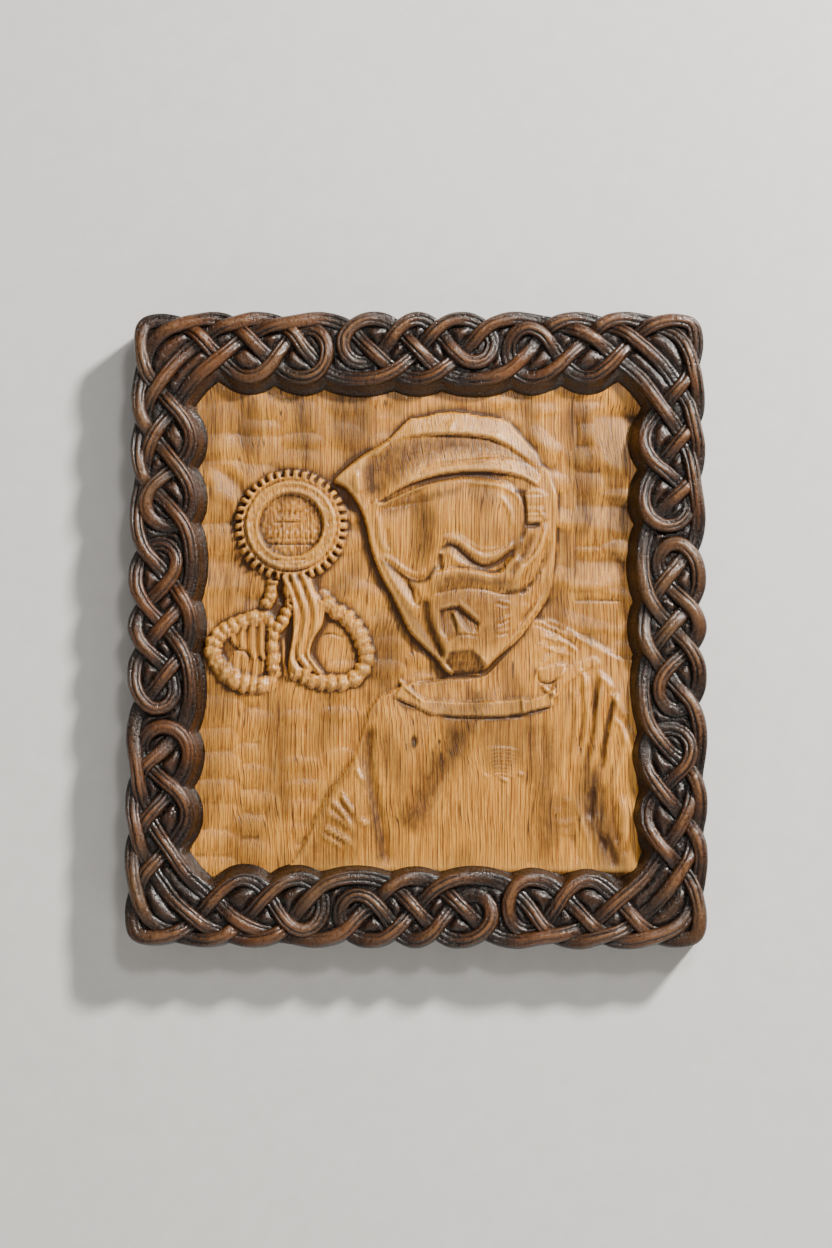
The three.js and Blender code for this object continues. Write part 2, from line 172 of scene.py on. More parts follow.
def on_side(side, hand, strand):
    """The octant's points as they lie on one of the four sides, with hand -1 for the mirrored half."""
    angle = side * math.pi / 2
    cosine, sine = round(math.cos(angle)), round(math.sin(angle))
    placed = []
    for along, inward in strand:
        x, z = hand * along, DRAWN_HALF - inward
        turned_x = x * cosine + z * sine
        turned_z = z * cosine - x * sine
        placed.append((
            stretch(turned_x, PLAQUE_WIDTH / 2, STILE_WIDTH),
            stretch(turned_z, PLAQUE_HEIGHT / 2, RAIL_HEIGHT),
        ))
    return placed


def strand_rings():
    """The closed strands: one along the edges, one with the hooks, and one for each corner."""
    edge_ring, hook_ring, corner_rings = [], [], []
    for side in range(4):
        edge_ring += on_side(side, -1, EDGE_STRAND)[::-1] + on_side(side, 1, EDGE_STRAND)
        hook_ring += on_side(side, -1, CROSS_STRAND)[::-1] + on_side(side, 1, HOOK_STRAND)[::-1]
        hook_ring += on_side(side, -1, HOOK_STRAND) + on_side(side, 1, CROSS_STRAND)
        following = (side + 1) % 4
        corner_rings.append(
            on_side(side, 1, CORNER_STRAND) + on_side(following, -1, CORNER_STRAND)[::-1]
        )
    rings = []
    for ring in [edge_ring, hook_ring, *corner_rings]:
        points = np.array(ring)
        apart = np.linalg.norm(points - np.roll(points, 1, axis=0), axis=1) > 0.01
        rings.append(resampled(smooth_curve(points[apart], closed=True), STRAND_STEP))
    return rings


def meetings(a, b, c, d):
    """Shares along a-b where it meets each of the segments c-d, and nan where it doesn't."""
    ab, cd, ac = b - a, d - c, c - a
    cross = ab[0] * cd[:, 1] - ab[1] * cd[:, 0]
    with np.errstate(divide="ignore", invalid="ignore"):
        t = (ac[:, 0] * cd[:, 1] - ac[:, 1] * cd[:, 0]) / cross
        u = (ac[:, 0] * ab[1] - ac[:, 1] * ab[0]) / cross
        hit = (t >= 0) & (t < 1) & (u >= 0) & (u < 1)
    return np.where(hit, t, np.nan)


def find_crossings(rings):
    """For each ring its crossings in order, as (place along the ring, lies under there).

    A strand lies under where an odd number of strands parts the space ahead of it, on its left, from the
    outside. So over and under take turns along every strand.
    """
    starts = np.vstack(rings)
    ends = np.vstack([np.roll(ring, -1, axis=0) for ring in rings])
    owner = np.concatenate([np.full(len(ring), k) for k, ring in enumerate(rings)])
    place = np.concatenate([np.arange(len(ring)) for ring in rings])
    found = [[] for _ in rings]
    far_away = np.array([3 * PLAQUE_WIDTH, PLAQUE_HEIGHT])
    neighbours = 3
    into_space = 1.5
    for k, (a, b) in enumerate(zip(starts, ends)):
        near = np.nonzero(np.abs(starts - a).max(axis=1) < 2 * STRAND_STEP)[0]
        length = len(rings[owner[k]])
        gap = np.abs(place[near] - place[k])
        beside = (owner[near] == owner[k]) & (np.minimum(gap, length - gap) < neighbours)
        near = near[~beside]
        shares = meetings(a, b, starts[near], ends[near])
        for other, t in zip(near, shares):
            if np.isnan(t):
                continue
            along = (b - a) / np.linalg.norm(b - a)
            across = ends[other] - starts[other]
            across = across / np.linalg.norm(across)
            left = np.sign(along[0] * across[1] - along[1] * across[0])
            in_space = a + (b - a) * t + into_space * (along + left * across)
            walls = np.isfinite(meetings(in_space, far_away, starts, ends)).sum()
            found[owner[k]].append((place[k] + t, walls % 2 == 1))
    return [sorted(crossings) for crossings in found]


def dips(ring, crossings):
    """How far each sample of a ring lies below the strand's highest level, as a share."""
    count = len(ring)
    at = np.array([c[0] for c in crossings])
    under = np.array([float(c[1]) for c in crossings])
    at = np.concatenate([[at[-1] - count], at, [at[0] + count]])
    under = np.concatenate([[under[-1]], under, [under[0]]])
    samples = np.arange(count)
    k = np.clip(np.searchsorted(at, samples, side="right") - 1, 0, len(at) - 2)
    share = (samples - at[k]) / (at[k + 1] - at[k])
    return under[k] + (under[k + 1] - under[k]) * smoothstep(share, 0.12, 0.88)


# Meshes


def mesh_object(name, vertices, faces, material, values=None):
    """A mesh object from points in mm, faces and a named value per point for its material."""
    mesh = bpy.data.meshes.new(name)
    mesh.from_pydata((np.asarray(vertices) * MM).tolist(), [], [list(f) for f in faces])
    for key, value in (values or {}).items():
        attribute = mesh.attributes.new(key, "FLOAT", "POINT")
        attribute.data.foreach_set("value", np.asarray(value, np.float32))
    mesh.polygons.foreach_set("use_smooth", [True] * len(mesh.polygons))
    mesh.materials.append(material)
    mesh.update()
    piece = bpy.data.objects.new(name, mesh)
    bpy.context.scene.collection.objects.link(piece)
    return piece


def grid_faces(rows, columns, wrap_rows=False, wrap_columns=False):
    """Quads between the points of a grid laid out row by row."""
    r = np.arange(rows if wrap_rows else rows - 1)
    c = np.arange(columns if wrap_columns else columns - 1)
    r, c = np.meshgrid(r, c, indexing="ij")
    r2, c2 = (r + 1) % rows, (c + 1) % columns
    quads = np.stack([r * columns + c, r * columns + c2, r2 * columns + c2, r2 * columns + c], -1)
    return quads.reshape(-1, 4)


# Half of a strand's section, from its middle out: [across, height above the ground] of a full strand
STRAND_SECTION = [
    (0, 6.0), (0.8, 5.92), (1.35, 5.8), (1.9, 5.65), (2.45, 5.45), (3.1, 5.1), (3.8, 4.5), (4.5, 3.3),
    (4.95, 1.4), (5.1, -1.5),
]
GROOVE_PLACE = 1.9
GROOVE_REACH = 1.0
GROOVE_DEPTH = 1.1


def strand_mesh(ring, dip, seed):
    """Points, quads, and wear with painted shade of one closed strand, with two grooves that come and go.
    """
    half = STRAND_SECTION[:0:-1]
    section = np.array([(-a, h) for a, h in half] + STRAND_SECTION)
    # the section stands across the ring at every sample; its level, width and grooves drift slowly
    ahead = np.roll(ring, -1, axis=0) - np.roll(ring, 1, axis=0)
    ahead = ahead / np.linalg.norm(ahead, axis=1)[:, None]
    across = np.column_stack([ahead[:, 1], -ahead[:, 0]])
    ring_x, ring_z = ring[:, 0], ring[:, 1]
    lift = wave(ring_x, ring_z, seed, 34)
    swell = 1 + 0.06 * wave(ring_x, ring_z, seed + 1, 26)
    crest = CREST_LEVEL - STRAND_DIP * dip - 0.25 * (1 + lift)
    place = section[:, 0][None] + 0.25 * wave(ring_x, ring_z, seed + 2, 30)[:, None]
    out = section[:, 0][None] * swell[:, None]
    x = ring[:, :1] + across[:, :1] * out
    z = ring[:, 1:] + across[:, 1:] * out
    groove = 0
    for middle, own_seed in ((-GROOVE_PLACE, seed + 3), (GROOVE_PLACE, seed + 4)):
        depth = np.clip(0.6 + 0.8 * wave(ring_x, ring_z, own_seed, 50), 0.0, 1.3)[:, None]
        groove = groove + np.clip(1 - np.abs(place - middle) / GROOVE_REACH, 0, 1) * depth
    shape = section[:, 1][None] / STRAND_RISE
    level = GROUND_LEVEL + (crest - GROUND_LEVEL)[:, None] * np.maximum(shape, 0)
    level = level + np.minimum(section[:, 1], 0)[None] - GROOVE_DEPTH * groove
    level = level + 0.14 * wave(x, z, seed + 5, 3.6)
    points = np.stack([x, -level, z], -1).reshape(-1, 3)
    # wear and painted shade: lighter on the rubbed crest, with painted shade down the sides, in the grooves
    # and where the strand dips under another
    wear_and_shade = np.clip(shape, 0, 1) ** 1.5 * (1 - 0.75 * dip)[:, None]
    wear_and_shade = wear_and_shade * (1 - 0.9 * np.clip(groove, 0, 1))
    faces = grid_faces(len(ring), len(section), wrap_rows=True, wrap_columns=True)
    return points, faces, wear_and_shade.ravel()


def knot_outline(points, margin, from_outside, count):
    """Outline of everything within margin of a strand's middle line, along rays from the middle."""
    angles = np.arange(count) * 2 * np.pi / count
    ways = np.column_stack([np.cos(angles), np.sin(angles)])
    reach = np.full(count, np.hypot(PLAQUE_WIDTH, PLAQUE_HEIGHT) if from_outside else 0.0)
    sign = -1 if from_outside else 1
    close_enough = 0.02
    for _ in range(60):
        here = ways * reach[:, None]
        spare = np.array([np.sqrt(((points - p) ** 2).sum(1).min()) for p in here]) - margin
        reach = reach + sign * spare
        if spare.max() < close_enough:
            break
    return ways * reach[:, None]


def board_outline(spare, angles):
    """The board's outline, a rectangle with cut corners, at the same ray angles as the knot's."""
    half_x = BOARD_WIDTH / 2 + spare
    half_z = BOARD_HEIGHT / 2 + spare
    cut = SEAT_CUT + spare * (2 - math.sqrt(2))
    cosine, sine = np.abs(np.cos(angles)), np.abs(np.sin(angles))
    reach = np.minimum(half_x / np.maximum(cosine, 1e-9), half_z / np.maximum(sine, 1e-9))
    reach = np.minimum(reach, (half_x + half_z - cut) / (cosine + sine))
    return np.column_stack([np.cos(angles) * reach, np.sin(angles) * reach])


def pillow(x, z, strands):
    """How much the ground swells between the strands: 0 beside a strand, 1 in the open."""
    gap = np.empty(len(x))
    at_once = 2000
    for first in range(0, len(x), at_once):
        part = slice(first, first + at_once)
        across = x[part, None] - strands[:, 0][None]
        up = z[part, None] - strands[:, 1][None]
        gap[part] = np.sqrt((across**2 + up**2).min(axis=1))
    return smoothstep(gap, 5.0, 8.6)


def body_mesh(rings):
    """The frame under its strands: back, seat, outer wall, ground and inner flank."""
    count = OUTLINE_RAYS
    strands = np.vstack(rings)
    angles = np.arange(count) * 2 * np.pi / count
    outer = knot_outline(strands, BAND_MARGIN, True, count)
    rim = knot_outline(strands, BAND_MARGIN, False, count)
    foot = knot_outline(strands, BAND_MARGIN + FLANK_RUN, False, count)
    seat = board_outline(SEAT_GAP, angles)
    outward = outer / np.linalg.norm(outer, axis=1)[:, None]
    # closed rows of points round the frame, as (outline, level, wear and painted shade), from the seat's
    # back edge
    rows = [
        (seat, 0.0, 0.2), (seat + (outer - seat) * 0.5, 0.0, 0.2), (outer - 1.5 * outward, 0.0, 0.2),
        (outer - 0.4 * outward, 0.6, 0.3), (outer, 2.0, 0.4), (outer, 10.0, 0.45), (outer, 18.0, 0.4),
        (outer, 25.0, 0.35), (outer - 0.1 * outward, 28.0, 0.3), (outer - 0.5 * outward, 30.2, 0.25),
    ]
    for k in range(1, GROUND_ROWS):
        rows.append((outer + (rim - outer) * k / GROUND_ROWS, GROUND_LEVEL, 0.0))
    inner_way = (foot - rim) / FLANK_RUN
    # the inner flank's painted shade deepens towards its foot at the panel
    rows += [
        (rim, 30.2, 0.25), (rim + inner_way * 0.5, 29.0, 0.35), (rim + inner_way * 1.9, 26.8, 0.3),
        (rim + inner_way * 3.7, 24.4, 0.2), (foot, PANEL_LEVEL + 0.6, 0.0),
        (foot, PANEL_LEVEL + SEAT_GAP, 0.0), (seat, PANEL_LEVEL + SEAT_GAP, 0.0),
    ]
    points, wear_and_shade = [], []
    for outline, level, value in rows:
        x, z = outline[:, 0], outline[:, 1]
        raised = np.zeros(count)
        if level == GROUND_LEVEL:
            swollen = pillow(x, z, strands)
            raised = PILLOW_RISE * swollen + 0.3 * wave(x, z, 11, 7) - 0.3
            # painted shade: the ground darkens beside the strands and is lighter in the open
            value = 0.05 + 0.42 * swollen
        points.append(np.column_stack([x, -(level + raised), z]))
        wear_and_shade.append(np.full(count, 1.0) * value)
    points = np.stack(points, 1).reshape(-1, 3)
    wear_and_shade = np.stack(wear_and_shade, 1).reshape(-1)
    return points, grid_faces(count, len(rows), wrap_rows=True, wrap_columns=True), wear_and_shade


def knotwork_frame(material):
    """The frame: its body with the strands lying in it."""
    rings = strand_rings()
    crossings = find_crossings(rings)
    vertices, faces, wear_and_shade = body_mesh(rings)
    vertices, faces, wear_and_shade = [vertices], [faces], [wear_and_shade]
    total = len(vertices[0])
    for k, (ring, at) in enumerate(zip(rings, crossings)):
        points, quads, worn_and_shaded = strand_mesh(ring, dips(ring, at), 20 + 2 * k)
        vertices.append(points)
        faces.append(quads + total)
        wear_and_shade.append(worn_and_shaded)
        total += len(points)
    piece = mesh_object(
        "knotwork_carving", np.vstack(vertices), np.vstack(faces), material,
        {"wear_and_shade": np.concatenate(wear_and_shade)},
    )
    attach(piece, "root")
    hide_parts("knotwork_frame")


# Relief


def path_distance(x, z, line, closed=False):
    """Distance from each point to a polyline, and the share of its length at the nearest place."""
    a = line
    b = np.roll(line, -1, axis=0)
    if not closed:
        a, b = a[:-1], b[:-1]
    lengths = np.linalg.norm(b - a, axis=1)
    start = np.concatenate([[0], np.cumsum(lengths)])
    best = np.full(x.shape, 1e9)
    share = np.zeros(x.shape)
    for (ax, az), (bx, bz), length, before in zip(a, b, lengths, start):
        if length < 1e-9:
            continue
        t = np.clip(((x - ax) * (bx - ax) + (z - az) * (bz - az)) / length**2, 0, 1)
        gap = np.hypot(x - ax - t * (bx - ax), z - az - t * (bz - az))
        nearer = gap < best
        best[nearer] = gap[nearer]
        share[nearer] = (before + t[nearer] * length) / start[-1]
    return best, share


def inside(x, z, line):
    """True inside a closed polyline."""
    result = np.zeros(x.shape, bool)
    for (ax, az), (bx, bz) in zip(line, np.roll(line, -1, axis=0)):
        if az == bz:
            continue
        crosses = (az > z) != (bz > z)
        result ^= crosses & (x < ax + (z - az) * (bx - ax) / (bz - az))
    return result


def window(x, z, line, reach):
    """Rows and columns of the grid within reach of a polyline."""
    low, high = line.min(axis=0) - reach, line.max(axis=0) + reach
    rows = np.nonzero((z[:, 0] >= low[1]) & (z[:, 0] <= high[1]))[0]
    columns = np.nonzero((x[0] >= low[0]) & (x[0] <= high[0]))[0]
    return np.s_[rows[0]:rows[-1] + 1, columns[0]:columns[-1] + 1]


class Relief:
    """A grid of heights with the carver's few moves: raise or sink an area, lay a ridge, cut a groove."""

    def __init__(self, x, z):
        self.x, self.z = x, z
        self.height = np.zeros(x.shape)
        # colour grids: dark for painted shade with wax and knots, brown for the wood's figure with some
        # painted shade
        self.dark = np.zeros(x.shape)
        self.brown = np.zeros(x.shape)

    def area(self, outline, smooth=True):
        """The grid part near an outline, and each point's distance inside it, negative outside."""
        line = smooth_curve(outline, closed=True) if smooth else np.asarray(outline, float)
        part = window(self.x, self.z, line, 12)
        x, z = self.x[part], self.z[part]
        gap, _ = path_distance(x, z, line, closed=True)
        return part, np.where(inside(x, z, line), gap, -gap)

    def settle(self, part, depth, level, low, high):
        """Brings an area to its level, which takes over between the depths low and high."""
        self.height[part] += smoothstep(depth, low, high) * (level - self.height[part])

    def add(self, outline, amount, edge, smooth=True):
        """Raises an area by an amount, with an edge that ramps over `edge` mm."""
        part, depth = self.area(outline, smooth)
        self.height[part] += amount * smoothstep(depth, -edge / 2, edge / 2)

    def facet(self, outline, right, up):
        """Cuts an area to a plane that leans to the right and up by the given slopes."""
        part, depth = self.area(outline)
        middle = np.mean(outline, axis=0)
        plane = -0.2 - right * (self.x[part] - middle[0]) - up * (self.z[part] - middle[1])
        self.settle(part, depth, plane, -4.5, 4.5)

    def stroke(self, path, amount, width, taper, reach):
        """The grid part within reach of a path, and a rounded hump along it that fades at its ends."""
        line = smooth_curve(path)
        part = window(self.x, self.z, line, reach)
        gap, share = path_distance(self.x[part], self.z[part], line)
        fade = smoothstep(share, 0, taper) * smoothstep(1 - share, 0, taper)
        return part, amount * fade * np.exp(-((gap / width) ** 2) * 2)

    def line(self, path, amount, width, taper=0.25):
        """A rounded ridge, or a groove where the amount is negative."""
        part, hump = self.stroke(path, amount, width, taper, 3 * width)
        self.height[part] += hump

    def lines(self, *strokes):
        """Ridges and grooves in turn, each with the path, amount, width and maybe taper of one line."""
        for stroke in strokes:
            self.line(*stroke)

    def shade(self, outline, amount, edge, grid):
        """Colours an area of one of the colour grids, softly towards its edge."""
        part, depth = self.area(outline)
        grid[part] = np.maximum(grid[part], amount * smoothstep(depth, -edge / 2, edge / 2))

    def shade_line(self, path, amount, width, taper=0.2):
        """Darkens a soft band along a path."""
        part, hump = self.stroke(path, amount, width, taper, 2 * width)
        self.dark[part] = np.maximum(self.dark[part], hump)


# Outlines and paths that are used more than once, [x, z] from the plaque's middle

HEAD = [
    (-55, 97), (-50, 103), (-38, 113), (-20, 124), (-12, 132), (-5, 138.5), (4, 140), (16, 143),
    (30, 143), (40, 141), (58, 138), (65, 131), (72, 123), (78, 116), (82, 108), (87, 104), (89, 97),
    (92, 89), (92.5, 80), (91.5, 60), (90, 40), (88, 25), (82, 13), (76, 4), (68, -7), (58, -16),
    (50, -23), (46, -27), (30, -30), (20, -29), (14, -22), (4, -12), (-5, -2), (-10, 8), (-16, 20),
    (-23, 33), (-28, 45), (-31, 55), (-33, 65), (-36, 75), (-41, 85), (-48, 93),
]
RIM_SEAT = [
    (14, 48.5), (20, 54), (25, 52.8), (31, 47.6), (38, 42), (45, 39.6), (52, 41.8), (60, 47.6), (67, 54),
]
CHEEK_HOLLOW = [(77, 64), (74, 56), (70, 48), (65, 40), (61, 34)]
WHEEL = (-83.5, 67.5)


def carve(x, z):
    """The whole carving on one grid: heights above the panel's level, painted shade with dark wax and
    knots, and brown figure with some painted shade.
    """
    r = Relief(x, z)
    ground(r)
    body(r)
    collar(r)
    sleeves(r)
    head(r)
    wheel(r)
    chains(r)
    stain(r)
    return r.height, r.dark, r.brown


# Gouge facets of the ground: for each column its middle x, half width, and where its facets meet
FACETS = [
    (-131, 17, (172, 150, 128, 111, 93, 67, 46, 24, 4, -20, -44, -66, -84, -103, -118, -134, -152, -172)),
    (-104, 16, (172, 158, 138, 127, 108, 88, 66, 40, 18, -4, -30, -55, -78, -92, -108, -124, -139, -158,
      -174)),
    (-76, 17, (172, 152, 130, 118, 100, 74, 50, 30, 6, -20, -54, -68, -83, -98, -111, -128, -140, -156,
      -172)),
    (-49, 17, (172, 154, 139, 119, 96, 80, 67, 46, 30, 12, -18, -34, -50, -64, -78, -94, -110, -128, -150,
      -170)),
    (-22, 16, (172, 160, 146, 134, 110, 88, 62, 44, 30, 12, -4, -19, -34, -50, -70, -95, -120, -145,
      -170)),
    (6, 17, (172, 158, 143, 120, 90, 60, 30, 4, -12, -28, -44, -60, -90, -120, -150, -175)),
    (34, 17, (172, 160, 146, 128, 100, 70, 40, 10, -20, -45, -70, -100, -130, -160, -180)),
    (60, 16, (172, 158, 147, 133, 118, 90, 60, 30, 0, -30, -60, -90, -120, -150, -180)),
    (84, 16, (172, 154, 140, 123, 108, 90, 70, 44, 20, 0, -20, -50, -80, -110, -140, -170)),
    (111, 17, (172, 155, 138, 123, 107, 91, 74, 58, 43, 28, 14, -1, -18, -50, -80, -110, -140, -170)),
    (137, 16, (172, 148, 131, 113, 96, 81, 62, 46, 31, 15, -4, -20, -50, -80, -110, -140, -170)),
]


def ground(r):
    """Broad shallow gouge facets, each a little rounded, that meet in soft valleys."""
    rng = np.random.default_rng(3)
    swell = np.full(r.x.shape, -1.6)
    lean = 0.02 * r.x + 1.5 * wave(r.x, r.z, 17, 60)
    for middle, half, meetings_at in FACETS:
        for top, bottom in zip(meetings_at, meetings_at[1:]):
            centre = middle + rng.uniform(-3, 3), (top + bottom) / 2 + rng.uniform(-1, 1) - 1
            across = (r.x - centre[0]) / (half * rng.uniform(1.05, 1.3))
            up = (r.z - centre[1] + lean) / ((top - bottom) / 2 * rng.uniform(1.1, 1.25))
            rise = rng.uniform(0.8, 1.6) * (1.25 if middle > 80 and top > -10 else 1.0)
            swell = np.maximum(swell, rise * (1 - up**2 - 0.85 * across**2))
    r.height += np.maximum(swell, -0.8) - 0.7 + 0.12 * wave(r.x, r.z, 5, 22)
    # broad facets that lean towards the upper right
    for outline, right, up in (
        ([(80, 137), (102, 138), (105, 128), (101, 117), (84, 117), (77, 127)], 0.11, 0.13),
        ([(117, 142), (134, 145), (148, 140), (148, 112), (138, 104), (125, 106), (116, 122)], 0.1, 0.1),
        ([(90, 83), (112, 85), (141, 81), (140, 66), (112, 66), (91, 69)], 0.05, 0.13),
        ([(91, 47), (112, 48), (136, 45), (135, 28), (112, 27), (92, 30)], 0.04, 0.12),
        ([(95, 18), (113, 20), (136, 16), (134, -1), (115, -2), (98, 2)], 0.04, 0.12),
        ([(-136, 106), (-126, 105), (-117, 94), (-122, 85), (-135, 89)], 0.15, 0.15),
        ([(-145, 46), (-128, 47), (-111, 41), (-113, 26), (-130, 23), (-145, 25)], 0.03, 0.1),
        ([(-46, 40), (-33, 42), (-18, 37), (-17, 26), (-31, 23), (-45, 25)], 0.04, 0.12),
    ):
        r.facet(outline, right, up)


def body(r):
    """Chest and shoulders as one low pillow, with soft folds and the wood's pin knots."""
    outline = [
        (-90, -172), (-78, -150), (-72, -140), (-66, -127), (-60, -115), (-54, -105), (-47, -95),
        (-40, -85), (-37, -75), (-34, -65), (-30, -53), (-25, -47), (-14, -41), (-4, -37), (20, -34),
        (44, -32), (54, -22), (64, -10), (72, 2), (78, 5.5), (88, 1), (105, -6), (120, -14), (135, -20),
        (160, -24), (160, -175),
    ]
    part, depth = r.area(outline)
    target = 1.7 * smoothstep(depth, -1.5, 1.5) + 1.6 * smoothstep(depth, 0, 34)
    r.height[part] = np.maximum(r.height[part], target)
    # soft shape of the chest: hollow under the chin, long soft folds towards the lower left
    r.lines(
        ([(34, -60), (22, -84), (8, -108), (0, -130)], -0.9, 9),
        ([(52, -58), (44, -90), (30, -120), (24, -156)], 0.6, 12),
        ([(74, -70), (84, -100), (86, -130), (84, -158)], 0.7, 11),
        ([(-6, -60), (-8, -90), (-4, -120), (-2, -155)], 0.5, 12),
        ([(60, -34), (44, -60), (28, -84), (14, -112), (4, -146)], 1.0, 7),
        ([(24, -40), (10, -66), (-4, -96), (-14, -128)], 0.7, 6),
    )
    # pin knots
    for place, size in (((-1.5, -74.5), 1.5), ((15, -75.5), 0.8), ((106.5, -126), 0.7)):
        gap = np.hypot(r.x - place[0], (r.z - place[1]) / 2)
        r.height -= 0.7 * np.exp(-((gap / size) ** 2))


def collar(r):
    """The collar's band with its ends and the scarf line over it."""
    # soft scarf between chin and collar
    r.line([(-2, -37.5), (8, -35), (20, -33.5), (42, -31.5)], -0.9, 1.3)
    # band
    band = [
        (-14, -46), (-9.5, -37), (-8, -38.5), (4, -48.5), (5, -48), (30, -49.5), (50, -49), (69, -47.5),
        (74, -48), (84, -44.5), (91, -41), (89, -51.5), (73, -55.5), (70, -58), (45, -59), (30, -58.8),
        (10, -57.5), (2, -53.5),
    ]
    r.add(band, 1.7, edge=1.0, smooth=False)
    r.lines(
        ([(-14, -46), (-8, -50), (2, -53)], -1.0, 1.2),
        ([(12, -58), (30, -59.6), (45, -59.8), (62, -59)], -0.9, 1.1),
        ([(58, -58.8), (66, -58.2), (72, -57.2)], -1.6, 1.5),
        ([(72, -57), (80, -54.8), (89, -52.4)], -0.9, 1.0),
        ([(-12, -34), (-6, -40.5), (0, -45.5), (5, -49)], 1.6, 1.2, 0.1),
        ([(69, -46), (70, -51), (70.5, -57)], 1.7, 1.2, 0.1),
        ([(82, -38), (86, -42), (92, -46)], 1.7, 1.4, 0.1),
        ([(90, -41), (90.5, -46), (89, -52)], 1.2, 1.0, 0.1),
    )


def sleeves(r):
    """Creases, pleats and long folds of both arms, and the worked patches."""
    # left arm: a soft valley between arm and chest
    r.lines(
        ([(-30, -62), (-31.5, -78), (-31, -92), (-28, -106), (-25, -118), (-22, -130), (-19, -150),
          (-18, -160)], -1.5, 5.0, 0.12),
        ([(-36, -84), (-38, -100), (-40, -118), (-44, -150)], 0.9, 8),
    )
    for path, rise in (
        ([(-50, -108), (-46, -115), (-40, -123)], 1.2),
        ([(-58, -113), (-51, -119), (-44, -128), (-41, -135)], 1.1),
        ([(-60, -121), (-50, -127), (-42, -133)], 0.9),
        ([(-62, -131), (-52, -136), (-40, -143)], 1.3),
        ([(-64, -135), (-56, -140), (-46, -146)], 0.8),
        ([(-38, -126), (-33, -129), (-29, -130)], 0.8),
        ([(-40, -92), (-37, -98), (-34, -103)], 0.7),
    ):
        r.line(path, 1.7 * rise, 1.7)
    # right shoulder seam and its pleats
    r.lines(
        ([(74, 4), (84, 0), (96, -6), (104, -12), (108, -20)], -0.8, 1.5),
        ([(78, 5), (90, 3), (102, -3), (112, -10)], 0.8, 2.4),
        ([(76, -20), (84, -12), (95, -6), (104, -4)], 0.7, 3.0),
        ([(74, -36), (82, -25), (92, -17), (104, -12)], 0.7, 2.6),
    )
    tab = [(80, -28), (92, -24), (97.5, -25), (96, -32), (86, -36), (81, -35.5)]
    r.add(tab, 1.0, edge=1.0, smooth=False)
    r.line([(80, -30), (81, -35), (86, -37), (97, -33)], -0.9, 1.0)
    shoulder = [
        (97, -28), (108, -22), (118, -20), (120, -25), (112, -27), (104, -33), (97, -38), (91, -46),
        (89, -42),
    ]
    r.add(shoulder, 0.9, edge=1.4)
    r.lines(
        ([(79, -4), (90, -8), (101, -12), (108, -19)], 0.9, 1.8),
        ([(82, -12), (92, -16), (103, -19)], 0.8, 1.8),
        ([(106, -27), (110, -33), (111, -42)], 1.3, 2.6),
        ([(118, -30), (124, -35), (129, -43)], 1.3, 3.0),
        ([(126, -42), (132, -50), (138, -62)], 1.3, 2.8),
        ([(128, -58), (134, -66), (138, -80)], 1.1, 2.4),
        ([(86, -6), (98, -2), (110, -8), (122, -14), (136, -19)], 1.0, 2.2),
    )
    # right arm: long folds that fall from the shoulder
    for path, rise, width in (
        ([(103, -38), (106, -52), (104, -72), (101, -98)], 1.0, 4.0),
        ([(112, -30), (111, -45), (113, -62), (109, -84), (106, -104)], 1.3, 3.6),
        ([(124, -30), (122, -42), (119, -58), (117, -80), (113, -98)], 1.2, 3.4),
        ([(134, -36), (131, -50), (127, -70), (124, -92)], 1.1, 3.4),
        ([(140, -62), (136, -80), (130, -100), (128, -118)], 1.2, 4.0),
        ([(132, -108), (136, -126), (133, -150)], 1.2, 4.0),
        ([(97, -40), (99, -58), (96, -80), (94, -104)], 0.8, 2.6),
        ([(118, -24), (121, -34), (119, -50), (118, -66)], 0.7, 1.8),
        ([(104, -108), (107, -124), (112, -140), (114, -156)], 0.9, 2.8),
        ([(110, -120), (116, -132), (119, -144)], 0.7, 1.6),
    ):
        r.line(path, 1.2 * rise, width)
    for path, depth, width in (
        ([(107, -34), (108, -50), (108, -66), (104, -88)], -1.0, 2.2),
        ([(117, -28), (117, -44), (115, -60), (112, -80), (109, -100)], -1.2, 2.2),
        ([(129, -44), (126, -60), (122, -80), (120, -98)], -1.2, 2.2),
        ([(88, -60), (84, -84), (86, -108)], -0.6, 3.5),
        ([(112, -104), (114, -116), (112, -128)], -1.5, 4.5),
        ([(122, -102), (121, -114), (120, -126)], -1.3, 4.0),
        ([(119, -134), (124, -142), (128, -150), (130, -160)], -1.7, 4.0),
        ([(132, -134), (135, -142), (136, -150)], -1.2, 3.5),
        ([(100, -132), (104, -142), (107, -156)], -0.8, 3.0),
        ([(122, -118), (119, -132), (123, -146), (122, -158)], -1.1, 1.6),
        ([(131, -112), (129, -128), (133, -146)], -1.0, 1.5),
        ([(114, -100), (116, -112), (114, -126), (118, -140)], -1.0, 1.5),
    ):
        r.line(path, depth, 1.15 * width)
    # small worked patches: fine curved ribs on the chest and some uneven gouge strokes near the arm
    for k in range(8):
        z = -80 - 2.45 * k
        rib = [(45 + 0.5 * k, z - 1.6), (52, z + 0.3), (60, z), (69.5 - 0.4 * k, z - 2.4)]
        r.line(rib, 1.0, 0.85, taper=0.3)
    for path, rise in (
        ([(94, -115), (98, -114), (103, -114.6)], 0.9),
        ([(89, -120.5), (96, -121.8)], 0.6),
        ([(88, -127), (96, -128.4), (107, -126.4)], 1.0),
        ([(93, -133.6), (99, -134.4), (105, -132.4)], 0.7),
    ):
        r.line(path, rise, 1.6, taper=0.35)
    r.lines(
        ([(44, -96.5), (48, -100)], 0.9, 1.0),
        ([(54, -98.5), (61, -102)], 1.3, 1.1),
        ([(66, -96.5), (71, -97)], 1.1, 1.1),
    )


def head(r):
    """The headgear: a domed shell, then its parts from the top down."""
    # shell: high on the left, low on the right
    part, depth = r.area(HEAD)
    shell = 4.9 - 2.2 * smoothstep(r.x[part], 10, 92) + 1.7 * smoothstep(depth, 0, 22)
    edge = smoothstep(depth, -0.8, 0.9)
    r.height[part] = np.maximum(r.height[part], shell * edge)
    crown_and_visor(r)
    goggles(r)
    cheeks(r)
    guard(r)


